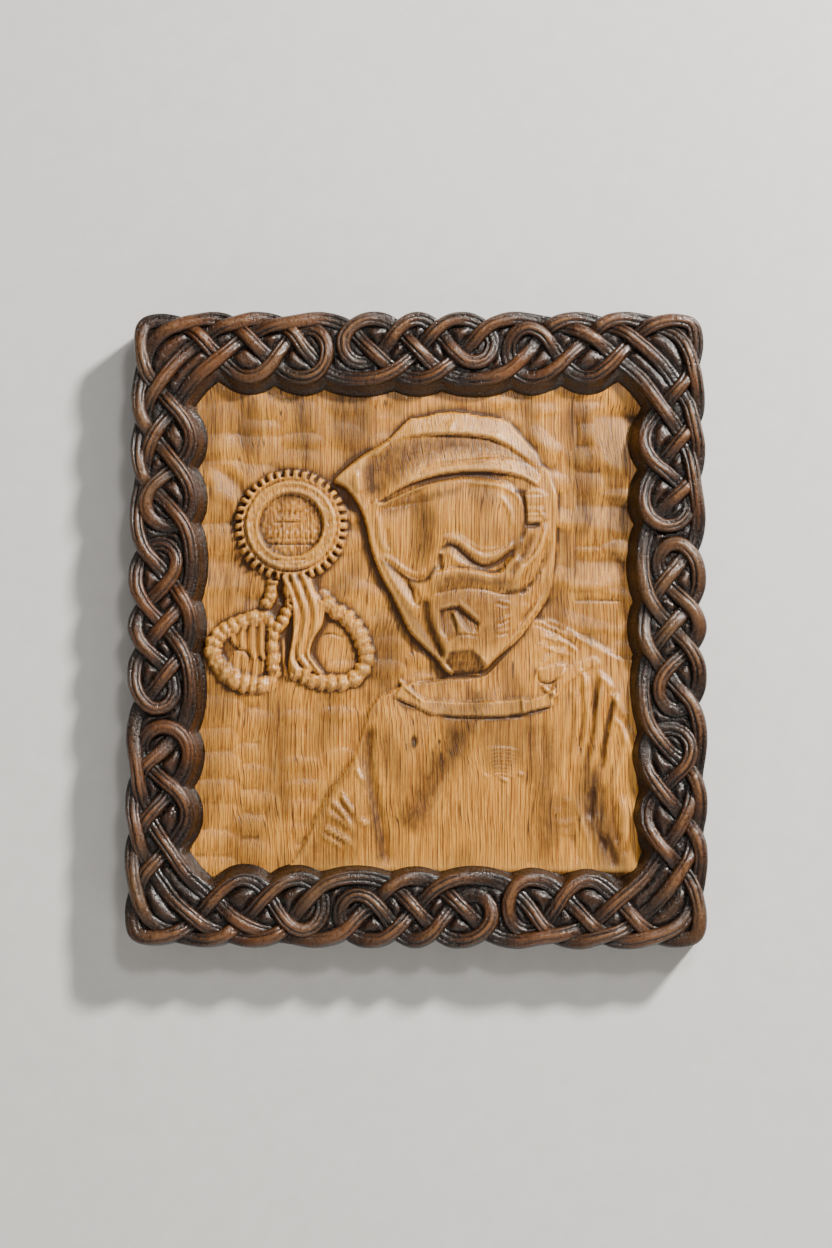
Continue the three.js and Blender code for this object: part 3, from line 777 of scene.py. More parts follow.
def crown_and_visor(r):
    """The raised crown, the visor that comes forward to its brim, and the flap on the left."""
    lip = [
        (-52, 101), (-38, 111.5), (-28, 118), (-19, 122.8), (-10, 126), (3, 128), (18, 128.5), (33, 128),
        (48, 126), (60, 120.5), (70, 113), (80, 105.5),
    ]
    crown = HEAD[1:14] + [(82, 107)] + lip[:0:-1]
    part, depth = r.area(crown, smooth=False)
    top, _ = path_distance(r.x[part], r.z[part], smooth_curve(crown[:14]))
    lean = 2.3 + 5.0 * smoothstep(top, -4, 22) - smoothstep(r.x[part], 40, 86)
    r.settle(part, depth, lean, -0.7, 0.7)
    r.line([(19.5, 128.6), (22, 133), (24.5, 139)], 0.7, 3.0)
    # visor: from under the crown's lip it comes forward to its lower edge
    brim = [
        (-27, 83), (-21, 87), (-14, 91), (-5, 95.3), (5, 98.6), (15, 101.3), (30, 103.3), (45, 103.6),
        (60, 102.3), (70, 99.5), (79.5, 93.8),
    ]
    visor = [(-28.5, 112)] + lip[3:] + [(81, 100)] + brim[::-1]
    part, depth = r.area(visor, smooth=False)
    to_lip, _ = path_distance(r.x[part], r.z[part], smooth_curve(lip))
    to_brim, _ = path_distance(r.x[part], r.z[part], smooth_curve(brim))
    forward = to_lip / (to_lip + to_brim + 1e-6)
    level = 3.1 + 4.6 * forward**1.3 * smoothstep(r.x[part], -33, 0) - 1.3 * smoothstep(r.x[part], 50, 84)
    r.settle(part, depth, level, -0.8, 0.6)
    # creases along the visor
    r.lines(
        ([(-12, 113), (0, 115), (10, 117), (25, 120), (40, 119)], -0.3, 1.2),
        ([(-6, 101), (8, 106), (22, 108.8), (40, 110.6), (56, 112), (71, 108.5)], -0.7, 1.1),
        ([(34, 112.2), (50, 113.8), (64, 113), (73, 109.8)], 0.8, 1.1),
        ([(42, 109), (56, 110.6), (72, 106.8)], 0.7, 1.1),
        ([(46, 105.6), (58, 107), (74, 103.4)], 0.7, 1.2),
        ([(-4, 98.5), (10, 103), (28, 106), (48, 107)], 0.35, 1.6),
    )
    # shadow gap under the brim, then the goggles' upper frame
    gap = brim + [
        (73, 89.5), (67, 90.5), (59, 96), (45, 99), (30, 99.3), (15, 96.8), (0, 92.3), (-12, 87), (-22, 82),
    ]
    part, depth = r.area(gap, smooth=False)
    r.settle(part, depth, 4.3 - 1.2 * smoothstep(-r.x[part], 0, 26), -0.7, 0.7)
    # flap at the left of the visor, and its tip
    flap = [
        (-55, 97), (-50, 102.5), (-38, 111.5), (-29, 115), (-26, 113), (-25.5, 100), (-26, 85), (-36, 78),
        (-41, 85), (-48, 93),
    ]
    part, depth = r.area(flap, smooth=False)
    r.settle(part, depth, 5.9 - 2.3 * smoothstep(r.x[part], -41, -29), -0.9, 1.2)
    r.lines(
        ([(-40.5, 104), (-39.5, 96), (-38.5, 88)], 1.5, 2.8),
        ([(-51, 103.5), (-38, 114), (-28, 120.5), (-19, 126)], 0.5, 1.0),
    )


def goggles(r):
    """Two lenses in one outline, with rims, creases and the groove they sit in."""
    frame_line = [
        (-26, 79), (-20, 81.5), (-10, 86.5), (0, 90.5), (15, 95), (30, 97.6), (45, 97.3), (58, 94.6),
        (66, 90), (70, 82), (70.5, 72), (69, 62), (66, 55), (60, 49.5), (52, 44), (45, 41.5), (38, 43.5),
        (30, 49.5), (24.5, 54), (20.5, 55), (17, 52), (13.5, 46), (10, 40.5), (6.5, 35), (3, 31.8),
        (-4, 32.3), (-10, 36), (-18, 42), (-24, 45), (-27, 52), (-28.5, 62), (-28, 71),
    ]
    part, depth = r.area(frame_line)
    x = r.x[part]
    lens = 3.9 + 2.9 * smoothstep(x, -5, 15) + 0.8 * smoothstep(depth, 0, 16)
    lens = lens - 1.9 * smoothstep(x, 42, 70) + 0.7 * smoothstep(-x, 4, 26)
    r.settle(part, depth, lens, -0.8, 0.8)
    # rim: bold under the right lens, soft under the left one
    r.lines(
        ([(16, 56.5), (21, 58.6), (27, 57), (34, 51.6), (40, 47.6), (46, 46), (53, 47.6), (60, 52.2),
          (65, 57)], 1.6, 2.7, 0.12),
        ([(18, 60.4), (24, 61.5), (31, 58.2), (38, 52.8), (45, 50.6), (53, 52), (60, 56.5)], 0.5, 1.6),
    )
    rim_groove = [(34, 54.6), (40, 51), (46, 49.6), (53, 51.2), (62, 56.6)]
    for shift in (0.0, 2.1, 4.2):
        r.line([(a, b - shift) for a, b in rim_groove], -0.6, 0.6, taper=0.1)
    r.lines(
        ([(-26, 48), (-18, 45), (-10, 39.2), (-4, 35.6), (2, 35), (7, 39)], 0.9, 2.4, 0.15),
        ([(-25.5, 77), (-25, 66), (-23.5, 56), (-20.5, 48)], 1.2, 2.4),
        ([(-19.5, 67), (-19, 58), (-18, 50)], -0.7, 1.8),
        ([(-24, 78), (-8, 81.2), (13, 84)], -0.5, 1.2),
        ([(30, 95), (45, 94.8), (58, 92), (66, 86.5), (68, 78)], 0.8, 1.5),
        ([(54, 88), (59, 81), (62, 74), (63.5, 63)], 1.0, 2.0),
        # dark seat of the rim below
        (RIM_SEAT, -1.3, 2.0, 0.1),
        ([(-25, 44), (-18, 40.4), (-10, 34.4), (-4, 30.8), (4, 30)], -1.5, 1.7, 0.12),
        ([(66, 92), (70, 84), (71.3, 74), (70.5, 64), (68, 56)], -1.3, 1.7, 0.15),
    )


def cheeks(r):
    """Bridge of the nose, mask edge, both cheeks and the strap's bracket."""
    # bridge of the nose and the bright facet on its right
    r.lines(
        ([(20, 51), (23, 46), (29, 41.5), (39, 38.5)], 0.55, 1.9, 0.15),
        ([(24, 51), (28, 47), (33, 43), (38, 40.5)], -0.6, 1.3),
        ([(15.5, 48), (15, 42), (17, 37)], -1.4, 2.2),
        ([(13, 38), (10, 34), (8.5, 31)], 0.9, 2.2),
    )
    # mask's upper edge, a bright bevel
    mask = [
        (11, 33), (20, 37), (30, 37.6), (42, 36), (50, 34.3), (55, 35.5), (60, 42), (66, 46), (70, 40),
        (68, 30), (66, 22), (40, 24), (11, 22),
    ]
    part, depth = r.area(mask)
    r.height[part] += smoothstep(depth, -2.6, 1.6) * (2.2 - 0.4 * smoothstep(depth, 3, 12))
    r.line([(20, 38.6), (30, 39.2), (42, 37.6), (50, 36), (56, 38.4), (60.5, 44)], -0.9, 1.2)
    # left cheek: a plate that leans in from the head's edge
    plate = [
        (-24, 46), (-17, 40.5), (-10, 34.5), (-5, 29.5), (-1.5, 21), (-1, 15), (-5, 15.5), (-10, 20.5),
        (-17, 31),
    ]
    part, depth = r.area(plate)
    side, _ = path_distance(r.x[part], r.z[part], smooth_curve([(-27, 46), (-17, 28), (-6, 12), (2, 2)]))
    r.settle(part, depth, 6.3 - 3.0 * smoothstep(side, -1, 12), -1.0, 1.0)
    r.lines(
        ([(-4, 29), (0, 22), (1, 15), (-3, 13)], -0.9, 1.8),
        ([(-12, 14), (-4, 4), (6, -8), (14, -17)], 0.2, 3.0),
        ([(-3, 11), (4, 0), (11, -11), (17, -21)], -0.4, 3.0),
    )
    # right cheek: long curves that sweep down from the strap
    r.lines(
        ([(85.5, 72), (84, 62), (81.5, 54), (77.5, 47), (71, 40), (65, 33), (59, 29.5)], 2.0, 2.6),
        (CHEEK_HOLLOW, -0.9, 2.0),
        ([(88, 66), (87, 54), (83, 42), (77, 32), (71, 25), (66, 20)], -0.9, 2.0),
        ([(90, 52), (88, 38), (84, 27)], 0.6, 2.0),
        ([(58, 26), (66, 23), (72, 25), (78, 32)], -1.0, 2.2),
        ([(71, 27), (74, 25)], 0.9, 1.2),
        ([(84, 24), (78, 13), (72, 4.5), (64, -6), (55, -15.5), (48, -22)], 1.7, 1.5),
        ([(81, 24), (75, 13), (69, 5), (61, -5), (52, -14)], -0.7, 1.6),
        ([(73, 20), (68, 10), (62, 2)], -0.5, 3.0),
        ([(80, 38), (83, 36)], 0.5, 1.2),
    )
    # strap bracket
    bracket = [(71, 91), (79, 92), (86, 88), (86, 72), (80, 69.5), (72, 70)]
    r.add(bracket, 1.1, edge=1.0, smooth=False)
    for level in (88, 80.5, 76, 72.5):
        r.line([(71, level), (78, level), (85, level + 0.4)], -0.5, 0.7, taper=0.1)
    r.lines(
        ([(71, 68), (76, 67.5), (81, 68.5)], -1.5, 2.0),
        ([(80, 79), (82.5, 74.5), (86, 71)], 0.8, 1.2),
    )


def guard(r):
    """The chin guard with its vents, slots and underside."""
    face = [
        (10.5, 22.5), (20, 24.6), (33, 26), (45, 25.2), (57, 22.5), (66, 21), (70, 14), (66, 2), (60, -7),
        (52, -16), (44, -25), (40, -28), (24, -28.5), (20.5, -20), (17, -9), (13, 1), (11, 11),
    ]
    part, depth = r.area(face, smooth=False)
    level = 7.4 - 2.6 * smoothstep(r.x[part], 40, 72) + 0.5 * smoothstep(depth, 0, 9)
    r.settle(part, depth, level, -4.2, 0.8)
    r.lines(
        ([(11, 21.5), (20, 24), (33, 25.6), (45, 24.6), (57, 21.8), (70, 23)], -0.7, 1.1, 0.1),
        # dark slope on the guard's left side
        ([(4, 21), (4, 8), (7, -3), (12, -13), (17, -22)], -1.2, 6.0, 0.12),
    )
    # vents: a roofed one in the middle, with a facet inside and a ledge under it
    pocket = [
        (14.5, 11), (22, 13.2), (28, 13.8), (33, 9.5), (41.5, 2.2), (39.5, -4.6), (28, -4.2), (20, -9),
        (15, -3),
    ]
    part, depth = r.area(pocket, smooth=False)
    r.height[part] -= smoothstep(depth, -0.5, 1.0) * (2.5 * smoothstep(r.z[part], -13, 9))
    facet = [(23.5, 9.8), (26, 9), (34, -4.2), (27.5, -4.6)]
    r.add(facet, 2.0, edge=1.6, smooth=False)
    r.lines(
        ([(24.5, 10), (27.5, 2), (31, -4)], 0.8, 1.3, 0.1),
        ([(26.5, 19), (29, 14.8), (33.5, 11.5), (41, 4)], 0.8, 1.3, 0.1),
        ([(15, 12.2), (22, 14), (28, 14.6)], 0.5, 1.0),
        ([(19.5, -10), (27, -5.4), (41, -6.4)], -1.0, 1.1, 0.1),
        ([(27, -3.6), (40, -4.2)], 0.5, 0.9),
    )
    # small slots on the right
    for path in ([(52, 15.5), (60, 13.5)], [(53, 1), (61, 5.5)], [(52, -6), (60, -3.5)]):
        r.line(path, -0.8, 1.1, taper=0.1)
        r.line([(a + 1, b + 2) for a, b in path], 0.5, 1.1, taper=0.1)
    # underside of the chin, and the jaw's bevel
    chin = [(21, -17.2), (36.5, -15.6), (41.5, -20.5), (45, -26.5), (42, -30), (24, -31), (19, -24)]
    part, depth = r.area(chin, smooth=False)
    r.height[part] -= smoothstep(depth, -1.2, 1.2) * (1.4 + 2.6 * smoothstep(-r.z[part], 16, 30))
    r.lines(
        ([(24, -22), (40, -22.6)], 0.35, 1.0),
        ([(25, -26), (42, -26)], 0.35, 1.0),
        ([(42, -20), (47, -25)], 0.8, 1.2),
    )


def wheel(r):
    """A toothed ring with a hub sunk in its middle, and rows of shallow strokes on the hub."""
    cx, cz = WHEEL
    part = window(r.x, r.z, np.array([[cx - 40, cz - 40], [cx + 40, cz + 40]]), 1)
    x, z = r.x[part] - cx, r.z[part] - cz
    radius = np.hypot(x, z)
    angle = np.arctan2(z, x)
    uneven = wave(r.x[part], r.z[part], 31, 9)
    tooth = smoothstep(np.cos(38 * angle + 0.5 * uneven), -0.75, 0.35)
    # teeth that stand on a ring, and the rounded lips of the ring round the sunk hub
    reach = 37.4 + 0.5 * uneven
    root = 33.2
    rounded = tooth * (1 - 0.6 * smoothstep(radius, 35.2, 38))
    in_tooth = smoothstep(reach - radius, -0.6, 0.8)
    teeth = 3.9 * in_tooth * np.maximum(rounded, smoothstep(root - radius, -0.6, 0.9))
    teeth = teeth + 0.5 * smoothstep(radius, 31, 33.5) * in_tooth * tooth
    ring = smoothstep(radius, 20.8, 22.6) * (1 - smoothstep(radius, 29.0, 30.2))
    lips = np.exp(-(((radius - 28.5) / 0.9) ** 2)) + np.exp(-(((radius - 22.6) / 0.9) ** 2))
    profile = teeth + ring * (1.4 + 0.7 * lips + 0.16 * uneven)
    profile = profile - 0.9 * np.exp(-(((radius - 30.6) / 0.7) ** 2))
    profile = profile - 0.9 * (1 - smoothstep(radius, 20.2, 21.6))
    share = np.clip(teeth / 0.8, 0, 1)
    under = r.height[part] * (1 - share)
    r.height[part] = under + np.maximum(profile, under) * share
    r.height[part] += share * 0.34 * wave(r.x[part], r.z[part], 32, 3.2)
    # painted shade in the gaps between the teeth
    gaps = (1 - tooth) * smoothstep(radius, 31.5, 33.5) * smoothstep(38.5 - radius, 0, 1.2)
    r.dark[part] = np.maximum(r.dark[part], 0.75 * gaps)
    # arcs cut in the ring near its top, and a few nicks
    for arc_radius, reach in ((25.6, 0.42), (29.6, 0.62)):
        at = np.linspace(np.pi / 2 - reach, np.pi / 2 + reach, 9)
        arc = [(cx + arc_radius * np.cos(t), cz + arc_radius * np.sin(t)) for t in at]
        r.line(arc, -1.0, 0.8, taper=0.1)
    for turn, start, end in (
        (3.05, 23, 28), (0.1, 24, 28), (2.2, 22, 25), (0.75, 25, 29), (4.0, 24, 27), (5.2, 23, 28),
    ):
        way = np.array([np.cos(turn), np.sin(turn)])
        r.line([(cx, cz) + start * way, (cx, cz) + end * way], -0.5, 0.9, taper=0.1)
    # rows of shallow strokes
    for x0, x1, dz in ((-10, 7, 2.3), (-16, 15, -12.2), (-12, 11, -23)):
        r.line([(cx + x0, cz + dz), (cx + x1, cz + dz)], -1.3, 0.8, taper=0.06)
        r.line([(cx + x0, cz + dz + 1.4), (cx + x1, cz + dz + 1.4)], 0.5, 0.9, taper=0.06)
    for k in range(9):
        left = cx - 15.0 + 3.7 * k
        r.line([(left, cz - 8.4), (left + 0.9, cz - 3.2)], 1.3, 1.0, taper=0.2)
    for k in range(5):
        left = cx - 8.6 + 3.5 * k
        r.line([(left, cz + 6.2), (left + 0.9, cz + 10.6)], -1.0, 0.9, taper=0.2)
    # painted shadow inside the hub along its upper and right rim
    r.shade_line([(cx - 14, cz + 12), (cx - 2, cz + 19), (cx + 12, cz + 15), (cx + 18, cz + 4)], 0.55, 4)


def rope(r, path, half, rise, pitch, seed):
    """A rough chain: rounded, with a lump for each link."""
    line = smooth_curve(path, step=0.8)
    part = window(r.x, r.z, line, half + 2)
    x, z = r.x[part], r.z[part]
    gap, share = path_distance(x, z, line)
    length = np.linalg.norm(np.diff(line, axis=0), axis=1).sum()
    along = share * length
    link = np.abs(np.cos(np.pi * along / pitch + 0.9 * np.sin(along / 9 + seed)))
    width = half * (0.88 + 0.15 * link) + 0.6 * wave(x, z, seed, 7)
    ends = smoothstep(share, 0, 0.03) * smoothstep(1 - share, 0, 0.03)
    round_top = np.sqrt(np.clip(1 - (gap / width) ** 2, 0, 1)) * (0.35 + 0.65 * ends)
    crust = 0.6 * wave(x, z, seed + 1, 4.2) + 0.5 * wave(x, z, seed + 2, 2.4)
    lumps = rise * (0.68 + 0.36 * link) + crust
    height = round_top * lumps
    r.height[part] = np.where(gap < width, np.maximum(r.height[part], height), r.height[part])


def folds(r, outline, level, pitch, path, amount):
    """A plate fluted along a path, like hanging cloth."""
    part, depth = r.area(outline)
    line = smooth_curve(path)
    x, z = r.x[part], r.z[part]
    gap, share = path_distance(x, z, line)
    k = np.clip((share * (len(line) - 1)).astype(int), 0, len(line) - 2)
    a, b = line[k], line[k + 1]
    side = (b[..., 0] - a[..., 0]) * (z - a[..., 1]) - (b[..., 1] - a[..., 1]) * (x - a[..., 0])
    across = np.where(side > 0, gap, -gap)
    flute = amount * np.cos(2 * np.pi * across / pitch)
    height = (level + flute) * smoothstep(depth, -0.8, 0.8)
    r.height[part] = np.maximum(r.height[part], height)


def chains(r):
    """Two chain loops, the short ends above them and the hanging strap between."""
    inner = [
        (-112, 2), (-101, 3), (-99, -8), (-98, -20), (-101, -22), (-103.5, -18.5), (-106.5, -22.5),
        (-109.5, -18), (-113, -14.5), (-117, -14), (-122, -9), (-121, -3),
    ]
    folds(r, inner, 2.0, 6.4, [(-108, 6), (-109, -8), (-108, -24)], 0.8)
    pocket = [(-118, -15), (-110, -19), (-104, -20), (-100, -24), (-104, -33), (-116, -33), (-124, -24)]
    folds(r, pocket, 0.9, 6.0, [(-114, -12), (-112, -34)], 0.3)
    left_loop = [
        (-100, 5.5), (-108, 5.5), (-117, 2.5), (-124, -1), (-131, -6), (-134.5, -13), (-133, -21),
        (-127.5, -29), (-121, -35), (-112, -38), (-104, -38.5), (-97, -37),
    ]
    rope(r, left_loop, 5.6, 4.3, 6.8, 3)
    r.line([(-130, -17), (-124, -25), (-117, -31), (-110, -33), (-104, -32)], 1.1, 1.6)
    ribbon = [
        (-89, 34), (-84.5, 24), (-82, 14), (-81.5, 4), (-82, -8), (-83.5, -18), (-84, -27), (-82, -34),
        (-77, -30), (-70, -30), (-62, -31), (-67, -24), (-70.5, -18), (-68.5, -8), (-63, 1), (-61.5, 10),
        (-63.5, 18), (-68, 26), (-71, 34),
    ]
    fall = [(-83, 36), (-77, 22), (-73, 8), (-74.5, -6), (-77, -18), (-71, -29)]
    folds(r, ribbon, 4.5, 6.6, fall, 0.95)
    r.lines(
        ([(-70, 32), (-65, 22), (-61.5, 10), (-64, 1), (-69, -9), (-71.5, -19), (-67, -25), (-62, -30)],
          0.8, 1.4),
        ([(-80, -20), (-75, -26), (-68, -29.5), (-62, -31.5)], -1.6, 1.6),
    )
    right_loop = [
        (-62, 20), (-57, 13), (-51, 9.5), (-44, 4), (-39, -3), (-35.5, -11), (-33, -19), (-35, -27),
        (-41, -33.5), (-50, -36.5), (-60, -36.5), (-69, -34.5), (-76, -31), (-82, -29),
    ]
    rope(r, right_loop, 5.4, 4.4, 6.8, 8)
    r.line([(-63, -5.5), (-58, -4), (-53, -5), (-47, -7.5)], -0.7, 1.1)
    for path, half, rise, pitch, seed in (
        ([(-95, 31), (-96, 25), (-97, 19), (-101, 14)], 4.2, 4.0, 6.0, 12),
        ([(-86, 31), (-84, 23), (-83, 16)], 3.6, 4.4, 7.0, 15),
        ([(-82, 15), (-86, 9), (-89, 3), (-94, -3), (-95, -12), (-94.5, -21), (-94, -29)], 4.6, 4.8, 6.6,
          18),
        ([(-101, 9), (-97, 4), (-96, -2)], 3.6, 3.2, 6.0, 22),
    ):
        rope(r, path, half, rise, pitch, seed)
    r.lines(
        ([(-92.5, 27), (-90.5, 22), (-88, 15)], -1.8, 1.6),
        ([(-89, -4), (-88, -14), (-87, -26), (-85, -36)], 1.4, 2.0),
    )


def stain(r):
    """Painted shade where faces, gaps and hollows of the carving lie in shadow, with dark wax and knots,
    and where the wood itself is darker in its figure, which also carries some painted shade.
    """
    lip_shade = [
        (-33, 113), (-26, 119), (-10, 125.5), (15, 128), (45, 126), (62, 119), (77, 107), (66, 111),
        (50, 115), (30, 116), (10, 112), (-6, 103), (-18, 93), (-25, 86), (-31, 85), (-34, 98),
    ]
    # painted shade on faces and hollows in shadow: under the crown's lip and the brim, at the visor's tip,
    # on the mask, vents, chin underside and the guard's left slope, with dark wax
    painted_shade_and_wax_areas = [
        (lip_shade, 0.6, 12),
        ([(-56, 96), (-50, 99), (-42, 96), (-40, 88), (-44, 84)], 0.6, 5),
        ([(-24, 80), (0, 89), (12, 90), (30, 93), (30, 90), (12, 84), (-4, 79), (-20, 74)], 0.5, 7),
        ([(12, 23), (34, 27), (60, 24), (66, 28), (55, 33), (46, 33), (30, 36), (14, 32)], 0.6, 7),
        ([(12, 20), (34, 24), (58, 21), (60, 6), (52, -12), (24, -12), (14, -2)], 0.42, 12),
        ([(15, 11), (28, 13.5), (40, 3), (38, -4), (22, -8), (16, -2)], 0.5, 3),
        ([(20.5, -17), (36.5, -15.6), (43, -22), (44, -28), (24, -30), (19, -23)], 0.6, 2.4),
        ([(-24, 30), (-14, 24), (-2, 10), (8, -8), (14, -20), (20, -28), (10, -18), (-6, 4)], 0.55, 7),
        ([(46, 42), (58, 50), (66, 60), (72, 62), (68, 48), (58, 38)], 0.5, 8),
        ([(-66, -130), (-50, -112), (-38, -118), (-32, -140), (-50, -160), (-74, -160)], 0.36, 14),
    ]
    # brown figure of the wood; the first area, down the middle of the lens, and the last, down the right
    # arm's hollow, are painted shade
    figure_and_shade_areas = [
        ([(-3, 84), (8, 86), (13, 72), (12, 56), (6, 42), (0, 40), (-4, 52), (-4, 66)], 0.5, 10),
        ([(84, -112), (102, -110), (106, -136), (86, -138)], 0.4, 10),
        ([(44, -60), (69, -58), (69, -88), (47, -94)], 0.42, 7),
        ([(-119, 158), (-110, 160), (-103, 134), (-107, 112), (-118, 118), (-122, 136)], 0.6, 11),
        ([(-84, 160), (-72, 160), (-66, 128), (-72, 104), (-80, 112), (-84, 134)], 0.62, 12),
        ([(-56, 160), (-36, 160), (-28, 136), (-36, 118), (-50, 116), (-58, 136)], 0.6, 14),
        ([(-146, 158), (-136, 160), (-130, 128), (-136, 104), (-146, 108)], 0.5, 10),
        ([(-20, 160), (-10, 160), (-8, 146), (-14, 138), (-20, 146)], 0.4, 9),
        ([(-134, 104), (-126, 96), (-122, 70), (-130, 52), (-138, 72)], 0.36, 12),
        ([(-130, 44), (-118, 40), (-112, 20), (-126, 12), (-136, 24)], 0.36, 12),
        ([(-60, 30), (-44, 44), (-38, 62), (-34, 40), (-44, 22), (-56, 14)], 0.42, 13),
        ([(-26, 10), (-14, 2), (-10, -26), (-22, -44), (-34, -30), (-30, -8)], 0.55, 14),
        ([(-146, -34), (-134, -30), (-124, -70), (-128, -120), (-140, -130), (-146, -90)], 0.36, 16),
        ([(-100, -46), (-86, -44), (-80, -80), (-84, -124), (-98, -130), (-102, -88)], 0.4, 16),
        ([(-118, -124), (-104, -116), (-98, -146), (-106, -164), (-122, -160)], 0.34, 14),
        ([(-66, -44), (-52, -42), (-52, -70), (-64, -84), (-70, -64)], 0.36, 14),
        ([(100, 150), (112, 152), (119, 112), (115, 66), (106, 58), (100, 104)], 0.6, 10),
        ([(126, 116), (134, 118), (139, 84), (136, 48), (128, 40), (124, 78)], 0.55, 10),
        ([(94, 62), (104, 64), (109, 40), (102, 28), (94, 44)], 0.46, 10),
        ([(104, 26), (114, 28), (122, 0), (114, -14), (104, -4)], 0.4, 10),
        ([(76, -60), (88, -58), (92, -110), (88, -158), (76, -158), (74, -108)], 0.3, 14),
        ([(110, -94), (119, -92), (126, -118), (136, -146), (140, -170), (124, -170), (114, -140),
          (106, -116)], 0.72, 13),
    ]
    for outline, amount, edge in figure_and_shade_areas:
        r.shade(outline, amount, edge, r.brown)
    for outline, amount, edge in painted_shade_and_wax_areas:
        r.shade(outline, amount, edge, r.dark)
    brim_gap = [
        (-24, 82.5), (-12, 87.5), (0, 92.5), (15, 97.5), (30, 99.8), (45, 99.6), (60, 97.4), (70, 93.5),
    ]
    lens_foot = [(-25, 44), (-18, 40.4), (-10, 34.4), (-4, 30.8), (4, 30), (10, 35), (14, 43)]
    # painted shade along grooves, gaps and under ledges: under the brim and the strap bracket, below the
    # rims, in the cheek hollows, along folds and the collar, with dark wax
    painted_shade_and_wax_lines = [
        (brim_gap, 0.55, 3.4),
        ([(64, 90.5), (69, 90), (73, 89)], 0.9, 3),
        ([(3, 85), (6, 72), (7, 60), (6, 46)], 0.22, 9),
        (RIM_SEAT, 0.9, 2.8),
        (lens_foot, 0.8, 2.8),
        ([(15.5, 49), (15, 42), (17, 37)], 0.8, 3.5),
        ([(6, 20), (7, 8), (10, -3), (14.5, -13), (19, -22)], 0.75, 5),
        (CHEEK_HOLLOW, 0.6, 4),
        ([(87, 60), (85, 46), (80, 36), (72, 25)], 0.5, 3),
        ([(71, 67.5), (76, 67), (82, 68.5)], 0.9, 3),
        ([(70.5, 90), (71.3, 78), (70.5, 64), (68, 56)], 0.8, 2.6),
        ([(57, 22), (66, 24), (74, 27)], 0.6, 4),
        ([(11, 22), (20, 24), (33, 25.6), (45, 24.6), (57, 22)], 0.6, 2.2),
        ([(-30, -60), (-31.5, -80), (-31, -96), (-27, -120), (-24, -136), (-20, -160)], 0.66, 7),
        ([(-13, -47), (-8, -52), (2, -54.5)], 0.7, 2.5),
        ([(12, -58.5), (35, -60.5), (60, -59.5), (89, -53.5)], 0.8, 2.4),
        ([(0, -38), (10, -35.5), (25, -33.6), (44, -32)], 0.5, 3),
        ([(118, -30), (118, -50), (115, -72), (109, -98)], 0.6, 4),
        ([(129, -46), (125, -68), (121, -95)], 0.6, 4),
        ([(84, -60), (86, -90), (84, -120), (88, -150)], 0.4, 8),
        ([(46, -36), (36, -58), (24, -78), (6, -107), (-8, -139)], 0.62, 17),
        ([(74, -62), (76, -84), (72, -104)], 0.3, 9),
        ([(100, -40), (103, -60), (100, -86)], 0.3, 5),
        ([(-36, -84), (-44, -94), (-54, -108), (-66, -130), (-80, -156)], 0.4, 4),
        ([(36, -10), (38, -30), (52, -26), (66, -10)], 0.35, 6),
        ([(-40, -40), (-30, -50), (-36, -70)], 0.3, 8),
    ]
    # painted shade down the slope beside the flap
    r.shade_line([(-33, 118), (-31, 106), (-30, 94), (-29, 80)], 0.85, 8, taper=0.35)
    for path, amount, width in painted_shade_and_wax_lines:
        r.shade_line(path, amount, width, taper=0.1)
    r.brown = np.maximum(r.brown, 0.45 * smoothstep(wave(r.x + 0.3 * r.z, r.z / 2.6, 41, 34), 0.3, 1.1))
    for x0, z0, size, amount in ((-1.5, -75.5, 2.3, 1.0), (15, -75.5, 1.2, 0.95), (107, -126, 0.9, 0.9)):
        gap = np.hypot(r.x - x0, (r.z - z0) / 1.9) / size
        r.dark = np.maximum(r.dark, amount * np.exp(-(gap**4)))


def blurred(grid, reach):
    """The grid smoothed over about reach cells each way."""
    kernel = np.exp(-(np.arange(-2 * reach, 2 * reach + 1) / reach) ** 2)
    kernel /= kernel.sum()
    padded = np.pad(grid, 2 * reach, mode="edge")
    rows = np.apply_along_axis(lambda line: np.convolve(line, kernel, "valid"), 0, padded)
    return np.apply_along_axis(lambda line: np.convolve(line, kernel, "valid"), 1, rows)


def spaced(stops):
    """Places along a line from (start, spacing) stops; the last one closes it."""
    parts = []
    for (start, spacing), (end, _) in zip(stops, stops[1:]):
        parts.append(np.linspace(start, end, round((end - start) / spacing), endpoint=False))
    return np.concatenate(parts + [[stops[-1][0]]])


